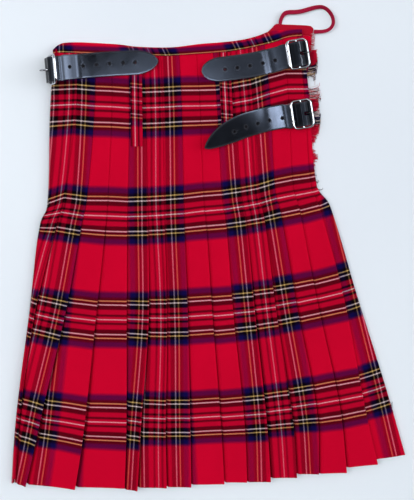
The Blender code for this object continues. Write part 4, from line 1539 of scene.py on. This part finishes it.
STRAPS = {
    "waist_right": StrapPlan(
        tail=(Station(-7.1, 241.5, 2.9, 4), Station(16, 243.6, 3.2, 6), Station(40, 246.5, 3.3, 8),
              Station(57.8, 249.2, 2.9, 10), Station(74, 252.5, 2.7, 12), Station(84, 254.7, 3.5, 12.5),
              Station(95, 257.4, 3.1, 13)),
        buckle=(120.1, 263.2), heading=10, tip_length=27, tip_shape=1.95, holes=(31, 47.5, 64.5, 82, 98.5),
        hole_line=-0.8, bend=-3.2),
    "hip_right": StrapPlan(
        tail=(Station(-3, 139.5, 8, 36, 16), Station(8.4, 147.7, 7, 34, 15),
              Station(20, 155.2, 5.9, 29, 13), Station(34, 162.6, 4.9, 25, 10.5),
              Station(48, 168.8, 4, 20, 8), Station(64, 173.8, 3, 16, 4),
              Station(80, 178, 1.8, 13.5), Station(92, 180.4, 2.3, 12), Station(104, 182.3, 3.2, 11)),
        buckle=(127, 184.7), heading=9.5, tip_length=57, tip_shape=1.43, holes=(46, 63, 79.5, 96, 113.5),
        broad_bar=1.1, hole_line=-2.4),
    "waist_left": StrapPlan(
        tail=(Station(-64.6, 254.7, 3.3, 184), Station(-90, 252.9, 3.3, 183),
              Station(-120, 251.4, 3.3, 183), Station(-148, 249.6, 3.4, 184),
              Station(-161, 248.5, 3.4, 184.5), Station(-170, 247.7, 3.9, 184.5),
              Station(-177, 247, 5.7, 184), Station(-183, 246.3, 9, 184),
              Station(-189, 245.4, 13.5, 184)),
        buckle=(-205, 242.8), heading=184, tilt=62, tip_length=32.5, tip_shape=1.6,
        holes=(31, 47, 65, 82, 100.5, 119), prong=ProngLay.LOOSE, root=WRAPPED_ROOT, tab=TURNED_TAB,
        over=(UNDER_WIRE + OVER_BAR[2:])),
}


class Course:
    """A strap's smooth middle line, with its way across and its way up."""
    NEAR = 0.8      # how far apart the line is read for its way

    def __init__(self, plan: StrapPlan) -> None:
        """Lay the stations out and measure along them.

        Args:
            plan: the strap's plan.
        """
        self.places: list[Vector] = []
        self.across: list[Vector] = []
        for station in plan.tail:
            heading, roll = math.radians(station.heading), math.radians(station.roll)
            self.places.append(Vector((station.x, station.y, BACK_TOP + station.rise)))
            self.across.append(Vector((-math.sin(heading) * math.cos(roll), math.cos(heading) * math.cos(roll),
                                       math.sin(roll))))
        frame = plan.frame()
        for way, out in plan.over + plan.root:
            self.places.append(frame @ Vector((way, 0.0, out)))
            self.across.append(frame.to_3x3() @ Vector((0.0, 1.0, 0.0)))
        self.reach = reaches(self.places)
        self.length, self.bar = self.reach[-1], self.reach[len(plan.tail) + BAR_STATION]

    def at(self, s: float) -> tuple[Vector, Vector, Vector]:
        """Place, way across and way up at a distance from the tip.

        Args:
            s: distance from the tip.

        Returns:
            The place and both ways.
        """
        near, far = (read(self.reach, self.places, min(max(s + step, 0.0), self.length))
                     for step in (-self.NEAR, self.NEAR))
        run, across = (far - near).normalized(), read(self.reach, self.across, s).normalized()
        return read(self.reach, self.places, s), across, run.cross(across).normalized()


@dataclass
class Strap:
    """A leather strap: cut flat, its edges rounded, its holes punched, then laid along its course."""
    name: str
    plan: StrapPlan
    hole: float = 2.2
    rim: float = 0.6                # the punch presses the rim in over this depth
    flare: float = 1.25             # and this much wider
    hole_punch: Pair = (2.4, -0.4)  # its length and the height of its middle
    slot_punch: Pair = (4.0, -1.2)
    past: float = 2.0               # a punch stands this far past its flare
    back: float = -1.0              # and is narrow below this level
    point: float = 0.03             # a hole's width at the back, for the hide closes there
    step: float = 2.0
    columns: int = 14
    tip_rows: int = 22
    burnish: float = 0.8
    painted_shade_shine: float = 0.15      # painted shade: the leather inside its buckle keeps this share of its reflection

    def half_width(self, s: float) -> float:
        """Half the strap's width at a distance from its tip.

        Args:
            s: distance from the tip.

        Returns:
            Half the width there.
        """
        if s >= self.plan.tip_length:
            return STRAP_WIDTH / 2
        turn = math.acos(max(-1.0, min(1.0, 1 - s / self.plan.tip_length)))
        return max(STRAP_WIDTH / 2 * math.sin(turn) ** (2.0 / self.plan.tip_shape), 0.3)

    def flat(self, course: Course) -> Object:
        """Cut the strap flat: along x from the tip, across y.

        Args:
            course: the strap's course.

        Returns:
            The flat strap.
        """
        tip, body = self.plan.tip_length, course.length - self.plan.tip_length
        rows = self.tip_rows + int(body / self.step)
        piece = started(bpy.ops.mesh.primitive_grid_add, f"strap_{self.name}_leather", x_subdivisions=rows,
                        y_subdivisions=self.columns, size=2.0)
        for vertex in piece.data.vertices:
            n, w = (vertex.co.x + 1) / 2 * rows, math.copysign(abs(vertex.co.y) ** 0.85, vertex.co.y)
            if n <= self.tip_rows:
                s = tip * (1 - math.cos(math.pi / 2 * n / self.tip_rows))
            else:
                s = tip + body * (n - self.tip_rows) / (rows - self.tip_rows)
            vertex.co = Vector((s, w * self.half_width(s), 0.0)) * MM
        settle(piece.data)
        rounding = {"width": self.burnish * MM, "segments": 3, "limit_method": "ANGLE", "angle_limit": math.radians(60)}
        modify(piece, thicken(STRAP_WALL), ("BEVEL", rounding))
        return piece

    def punch(self, at: Vector, long: float = 0.0, narrow: float = 1.0) -> Object:
        """Make one punch: narrow at the back of the strap, flared at the front so that the rim is pressed in.

        Args:
            at: middle of the hole on the flat strap, in millimetres.
            long: how much longer than wide the hole is, in millimetres.
            narrow: width at the back as a share of the width at the front.

        Returns:
            The punch.
        """
        x, y = at.x * MM, at.y * MM
        deep, low = self.slot_punch if narrow == 1.0 else self.hole_punch
        tool = started(bpy.ops.mesh.primitive_cylinder_add, "punch", vertices=24, radius=self.hole * MM,
                       depth=deep * MM, location=(x, y, low * MM))
        bpy.ops.object.transform_apply(location=True, rotation=True, scale=True)
        pick_faces(tool, lambda face: face.normal.z > 0.9)
        bpy.ops.mesh.extrude_region_move(TRANSFORM_OT_translate={"value": (0.0, 0.0, self.rim * MM)})
        bpy.ops.transform.resize(value=(self.flare, self.flare, 1.0), center_override=(x, y, 0.0))
        bpy.ops.mesh.extrude_region_move(TRANSFORM_OT_translate={"value": (0.0, 0.0, self.past * MM)})
        bpy.ops.object.mode_set(mode="OBJECT")
        for vertex in tool.data.vertices:
            if vertex.co.z < self.back * MM:
                vertex.co.x = x + (vertex.co.x - x) * narrow
                vertex.co.y = y + (vertex.co.y - y) * narrow
            if long:
                vertex.co.x += math.copysign(long / 2 * MM, vertex.co.x - x)
        return tool

    def build(self, finish: Material) -> None:
        """Make and dress the strap.

        Args:
            finish: its material.
        """
        course = Course(self.plan)
        piece = self.flat(course)
        tools = [self.punch(Vector((s, self.plan.hole_line)), narrow=self.point) for s in self.plan.holes]
        middle, long = SLOTS[self.plan.prong]
        tools.append(self.punch(Vector((course.bar + middle, 0.0)), long))
        modify(piece, *(("BOOLEAN", {"operation": "DIFFERENCE", "object": tool, "solver": "EXACT"}) for tool in tools))
        for tool in tools:
            bpy.data.objects.remove(tool)
        self.mark(piece.data, course)
        frames: dict[float, tuple[Vector, Vector, Vector]] = {}

        def lay(flat: Vector) -> Vector:
            """Where a point of the flat strap goes.

            Args:
                flat: the point on the flat cut.

            Returns:
                Its place in the draft.
            """
            key = round(flat.x, 3)
            if key not in frames:
                frames[key] = course.at(key)
            place, across, up = frames[key]
            return place + across * flat.y + up * flat.z

        reshape(piece, lay)
        smooth(piece, 35.0)
        fasten(piece, finish, f"strap_{self.name}")

    def mark(self, mesh: Mesh, course: Course) -> None:
        """Write the flat cut as a UV map; the nearness of an edge or hole, the shine, turned down as painted shade in
        the holes and inside the buckle, and the distance from the painted highlight line as attributes.

        Args:
            mesh: the mesh.
            course: the strap's course.
        """
        while mesh.uv_layers:
            mesh.uv_layers.remove(mesh.uv_layers[0])
        layer = mesh.uv_layers.new(name="hide")
        for loop in mesh.loops:
            x, y, z = mesh.vertices[loop.vertex_index].co
            layer.data[loop.index].uv = (x, y + 0.1 * z)
        inside, values = course.bar - FRAME_HALF[0], []
        for vertex in mesh.vertices:
            x, y = vertex.co.xy / MM
            apart = [math.hypot(x - s, y - self.plan.hole_line) for s in self.plan.holes]
            # painted shade: inside the buckle the leather keeps little of its reflection, and in the holes none
            shine = between(1.0, self.painted_shade_shine, ease(inside - 1.0, inside + 3.0, x))
            rim = self.half_width(x) - abs(y)
            rim = min(rim, x) if x < self.plan.tip_length else rim
            wear = min(rim / 3.0, min(abs(far - self.hole) for far in apart) / 1.6, 1.0)
            values.append((wear, 0.0 if min(apart) < self.hole * 1.05 else shine, x - (course.bar - self.plan.bend)))
        marks(mesh, values)


@dataclass
class Buckle:
    """A frame with its centre bar, its prong, and the leather tab that holds them."""
    name: str
    plan: StrapPlan
    corner: float = 5.6
    wire: float = 1.35              # half thickness of a plain frame's wire
    squared: float = 0.8            # how far its outside is flattened
    around: int = 72
    sides: int = 16
    prong_thick: Pair = (1.55, 0.75)        # a loose one, and one that is sunk in its hole
    prong_cuts: int = 60
    prong_taper: Pair = (0.75, 0.45)        # what is left of it along its end, and what its tip loses
    tab_width: float = 27.0
    tab_wall: float = 1.0
    tab_cuts: tuple[int, int] = (48, 18)
    tab_slot: tuple[float, float, float] = (3.5, 3.0, 2.3)      # its reach past the bar both ways, half its width
    # painted shade: the tab round the bar keeps a tenth of its reflection
    tab_painted_shade_shine: float = 0.1

    def ring(self, share: float) -> tuple[Vector, Vector]:
        """Middle of the frame's wire at a share of its way round, and the way outwards.

        Args:
            share: share of the way round.

        Returns:
            The place and the way outwards.
        """
        straight = [2 * (half - self.corner) for half in FRAME_HALF]
        arc = math.pi / 2 * self.corner
        way = share * (2 * sum(straight) + 4 * arc)
        for side in range(4):
            run, reach = straight[side % 2 == 0], FRAME_HALF[side % 2]
            turn = side * math.pi / 2
            out, onward = Vector((math.cos(turn), math.sin(turn), 0.0)), Vector((-math.sin(turn), math.cos(turn), 0.0))
            if way <= run:
                return out * reach + onward * (way - run / 2), out
            way -= run
            if way <= arc:
                a = way / self.corner
                outward = out * math.cos(a) + onward * math.sin(a)
                return out * (reach - self.corner) + onward * (run / 2) + outward * self.corner, outward
            way -= arc
        return self.ring(0.0)

    def frame(self, finish: Material) -> None:
        """Make the frame from a ring, with its broad bar and its centre bar.

        Args:
            finish: its material.
        """
        thin = 0.1
        piece = started(bpy.ops.mesh.primitive_torus_add, f"buckle_{self.name}_frame", major_segments=self.around,
                        minor_segments=self.sides, major_radius=1.0, minor_radius=thin)
        place = self.plan.frame()
        for vertex in piece.data.vertices:
            x, y, z = vertex.co
            radial = (math.hypot(x, y) - 1.0) / thin
            middle, out = self.ring((math.atan2(y, x) / math.tau) % 1.0)
            broad = between(1.0, self.plan.broad_bar, ease(0.5, 0.98, -out.x))
            flat = math.copysign(abs(radial) ** self.squared, radial)
            wire = between(self.wire, WIRE, ease(1.0, 1.1, broad))
            up = z / thin * wire * between(1.0, broad, 0.25)
            vertex.co = placed(place @ (middle + out * (WIRE + (flat - 1.0) * broad * wire) + Vector((0.0, 0.0, up))))
        bar = started(bpy.ops.mesh.primitive_cylinder_add, "bar", vertices=16, radius=BAR * MM,
                      depth=2 * FRAME_HALF[1] * MM)
        reshape(bar, lambda spot: place @ spot.xzy)
        for part in (bar, piece):
            settle(part.data)
        modify(piece, ("BOOLEAN", {"operation": "UNION", "object": bar, "solver": "EXACT"}))
        bpy.data.objects.remove(bar)
        smooth(piece)
        fasten(piece, finish, f"buckle_{self.name}")

    def bent(self, piece: Object, route: Sequence[Pair], half: float,
             lay: Callable[[Vector], tuple[float, float, float]]) -> None:
        """Bend a piece along a route in the buckle's plane.

        Args:
            piece: the piece.
            route: the points that its middle follows.
            half: how far to each side the route is read for its way.
            lay: gives, for a point, its distance along the route, its place across and its height.
        """
        reach, place = reaches(route), self.plan.frame()

        def bend(point: Vector) -> Vector:
            """Where one point goes.

            Args:
                point: the point on the straight piece.

            Returns:
                Its place in the draft.
            """
            s, across, out = lay(point)
            run = (read(reach, route, s + half) - read(reach, route, s - half)).normalized()
            spot = read(reach, route, s) + Vector((-run.y, run.x)) * out
            return place @ Vector((spot.x, across, spot.y))

        reshape(piece, bend)
        settle(piece.data)
        smooth(piece, 50.0)

    def prong(self, finish: Material) -> None:
        """Make the prong: curled round the bar and tapered to a blunt tip.

        Args:
            finish: its material.
        """
        route = self.plan.prong.value
        length, full = reaches(route)[-1], self.prong_thick[self.plan.prong is ProngLay.FASTENED]
        piece = started(bpy.ops.mesh.primitive_cylinder_add, f"prong_{self.name}_pin", vertices=14, radius=1.0,
                        depth=2.0, end_fill_type="NGON")
        bpy.ops.object.mode_set(mode="EDIT")
        for height in steps(-1.0, 1.0, self.prong_cuts)[1:-1]:
            bpy.ops.mesh.select_all(action="SELECT")
            bpy.ops.mesh.bisect(plane_co=(0, 0, height), plane_no=(0, 0, 1))
        bpy.ops.object.mode_set(mode="OBJECT")

        def lay(point: Vector) -> tuple[float, float, float]:
            """Distance along the prong, place across and height of one point.

            Args:
                point: the point on the straight pin.

            Returns:
                The distance, the place across and the height.
            """
            x, y, z = point * MM
            share = (z + 1) / 2
            left, lost = self.prong_taper
            thin = between(full, left * full, ease(0.45, 1.0, share)) * (1 - lost * ease(0.955, 1.0, share))
            return share * length, y * thin, x * thin

        self.bent(piece, route, 0.4, lay)
        fasten(piece, finish, f"prong_{self.name}")

    def tab(self, finish: Material) -> None:
        """Make the tab: under the bar, round it and back, slotted for the prong.

        Args:
            finish: its material.
        """
        reach, half = reaches(self.plan.tab), self.tab_width / 2
        piece = started(bpy.ops.mesh.primitive_grid_add, f"buckle_tab_{self.name}_leather",
                        x_subdivisions=self.tab_cuts[0], y_subdivisions=self.tab_cuts[1], size=2.0)
        mesh = piece.data
        for vertex in mesh.vertices:
            vertex.co = Vector(((vertex.co.x + 1) / 2 * reach[-1], vertex.co.y * half, 0.0)) * MM
        before, after, wide = self.tab_slot
        low, high = reach[3] - before, reach[6] + after
        pick_faces(piece, lambda face: low < face.center.x / MM < high and abs(face.center.y / MM) < wide)
        bpy.ops.mesh.delete(type="FACE")
        bpy.ops.object.mode_set(mode="OBJECT")
        modify(piece, thicken(self.tab_wall))
        layer = mesh.uv_layers.active
        layer.name = "hide"
        for loop in mesh.loops:
            layer.data[loop.index].uv = mesh.vertices[loop.vertex_index].co.xy
        marks(mesh, [(min((half - abs(v.co.y) / MM) / 3.0, 1.0), self.tab_painted_shade_shine, NO_HIGHLIGHT_LINE) for v in mesh.vertices])
        self.bent(piece, self.plan.tab, 0.3, lambda flat: (min(max(flat.x, 0.0), reach[-1]), flat.y, flat.z))
        fasten(piece, finish, f"buckle_tab_{self.name}")


# ---- studio ----------------------------------------------------------------------------
@dataclass
class Studio:
    """Plain pale floor, soft light from the upper left, and the camera above the waist."""
    distance: float = 1.10
    tilt: float = 7.242
    lens: float = 57.27
    sensor: float = 36.0
    clip: Pair = (0.05, 20.0)
    ceiling_light: float = 1.5
    ceiling: tuple[Pair, ...] = (
        (0.0, 1.2), (0.10, 0.8), (0.20, 0.20), (0.32, 0.25), (0.38, 0.34), (0.46, 0.22), (0.50, 0.25),
        (0.54, 0.32), (0.58, 0.48), (0.66, 0.70), (0.74, 0.5), (0.90, 0.6), (0.96, 1.5), (1.0, 1.5))
    shaded: Pair = (-0.14, -0.02)
    shade: float = 0.08             # light that is left on the shaded side
    air: Colour = (0.92, 0.955, 1.0)
    # direction, reach and light of each bright or dark pane that shines in the leather
    panes: tuple[tuple[tuple[float, float, float], float, float], ...] = (
        ((-0.075, 0.008, 0.997), 0.08, 18.0), ((0.30, 0.135, 0.944), 0.12, 6.0), ((-0.62, 0.10, 0.78), 0.20, 4.0),
        ((0.66, -0.25, 0.71), 0.15, 2.0), ((0.86, 0.09, 0.50), 0.32, 3.0), ((0.93, 0.09, 0.36), 0.24, 2.6),
        ((0.56, 0.09, 0.82), 0.32, 2.0), ((-0.107, 0.108, 0.988), 0.085, -1.45))
    # name, place, size, power and colour of each lamp
    lamps: tuple[tuple, ...] = (
        ("window", (-1.2, 0.5, 1.65), 1.0, 14.2, (1.0, 0.98, 0.96)),
        ("fill", (1.3, -0.4, 1.6), 1.6, 2.7, (1.0, 0.99, 0.98)))
    floor_tints: tuple[Colour, Colour] = (tone(214, 220, 227), tone(222, 228, 233))
    floor_size: float = 12.0
    floor_drop: float = 0.0004

    def build(self) -> None:
        """Make the camera, the lights and the floor."""
        tilt = math.radians(self.tilt)
        camera = bpy.data.cameras.new("camera")
        camera.lens, camera.sensor_width, camera.sensor_fit = self.lens, self.sensor, "AUTO"
        camera.clip_start, camera.clip_end = self.clip
        holder = bpy.data.objects.new("camera", camera)
        holder.location = PLAN_SHIFT * MM + Vector((0.0, math.sin(tilt), math.cos(tilt))) * self.distance
        holder.rotation_euler = (-tilt, 0.0, 0.0)
        bpy.context.scene.collection.objects.link(holder)
        bpy.context.scene.camera = holder
        for lamp in self.lamps:
            self.light(*lamp)
        self.room()
        bpy.context.scene.view_settings.view_transform = "Standard"
        bpy.context.scene.view_settings.look = "None"
        self.floor()

    def room(self) -> None:
        """Make the room's own soft light: a pale ceiling, brighter to the left, with a dark right side."""
        world = bpy.data.worlds.new("studio")
        world.use_nodes = True
        nodes = Nodes(world.node_tree)
        sky = world.node_tree.nodes["Background"]
        way = nodes.add("TexCoord").outputs["Generated"]
        parts = nodes.add("SeparateXYZ", Vector=way)
        across = nodes.plus(nodes.times(parts.outputs[0], 0.5), 0.5)
        ceiling = nodes.ramp(across, [(place, (level, level, level)) for place, level in self.ceiling])
        beyond = nodes.ranged(parts.outputs[1], self.shade, 1.0, From_Min=self.shaded[0], From_Max=self.shaded[1])
        shine = nodes.times(ceiling, beyond)
        for place, size, light in self.panes:
            apart = nodes.add("VectorMath", {"operation": "DISTANCE"}, i0=way, i1=place).outputs["Value"]
            pane = nodes.add("MapRange", {"interpolation_type": "SMOOTHSTEP"}, Value=apart, From_Min=size,
                             From_Max=0.3 * size, To_Min=0.0, To_Max=light)
            shine = nodes.plus(shine, pane.outputs[0])
        nodes.feed(sky.inputs["Color"], nodes.scaled(self.air, shine))
        sky.inputs["Strength"].default_value = self.ceiling_light
        bpy.context.scene.world = world

    def light(self, name: str, at: tuple[float, float, float], size: float, power: float, colour: Colour) -> None:
        """Hang one soft lamp that looks at the kilt.

        Args:
            name: the lamp's name.
            at: its place.
            size: its width.
            power: its power in watts.
            colour: its colour.
        """
        lamp = bpy.data.lights.new(name, "AREA")
        lamp.shape, lamp.size, lamp.energy, lamp.color = "SQUARE", size, power, colour
        holder = bpy.data.objects.new(name, lamp)
        holder.location = at
        holder.rotation_euler = (-Vector(at)).to_track_quat("-Z", "Y").to_euler()
        holder.visible_glossy = False
        bpy.context.scene.collection.objects.link(holder)

    def floor(self) -> None:
        """Lay the plain table top."""
        top = started(bpy.ops.mesh.primitive_plane_add, "floor", size=self.floor_size,
                      location=(0.0, 0.0, -self.floor_drop))
        material = bpy.data.materials.new("floor")
        material.use_nodes = True
        nodes = Nodes(material.node_tree)
        shader = material.node_tree.nodes["Principled BSDF"]
        cloudy = nodes.noise(nodes.add("TexCoord").outputs["Object"], 1.4, 2.0)
        tint = nodes.ramp(cloudy, [(at, linear(shade)) for at, shade in zip((0.3, 0.7), self.floor_tints)])
        nodes.feed(shader.inputs["Base Color"], tint)
        shader.inputs["Roughness"].default_value = 0.6
        top.data.materials.append(material)


def main() -> None:
    """Build every piece in order."""
    logging.basicConfig(level=logging.INFO, format="%(message)s")
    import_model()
    Studio().build()
    tape = PlainFinish("tape_weave", tone(120, 8, 42), tone(170, 22, 58), (0.9, 0.8)).make()
    leather, chrome = LeatherFinish("strap_leather").make(), ChromeFinish("plated_steel").make()
    # painted shade: a dark copy of the plated steel for the prongs that sit in their holes
    shaded_prong_steel = ChromeFinish("dull_steel", bright=0.12).make()
    HangerLoop().build(tape)
    tartan = TartanFinish("tartan_wool").make()
    PleatedBack().build(tartan)
    aprons = Aprons()
    aprons.over(tartan)
    aprons.under(tartan)
    aprons.band(PlainFinish("band_wool", tone(140, 6, 34), tone(176, 8, 40), (2.0,), fuzz=700.0, rib_height=0.3,
                            rough=0.9, gloss=0.18).make())
    Waistband().build(tartan)
    BeltLoops().build(TartanFinish("loop_wool", weft_share=0.36).make())
    Fringe().build(YarnFinish("loose_yarn").make())
    for name, plan in STRAPS.items():
        Strap(name, plan).build(leather)
        buckle = Buckle(name, plan)
        buckle.frame(chrome)
        # the fastened prongs get the painted shade steel
        buckle.prong(chrome if plan.prong is ProngLay.LOOSE else shaded_prong_steel)
        buckle.tab(leather)


if __name__ == "__main__":
    main()
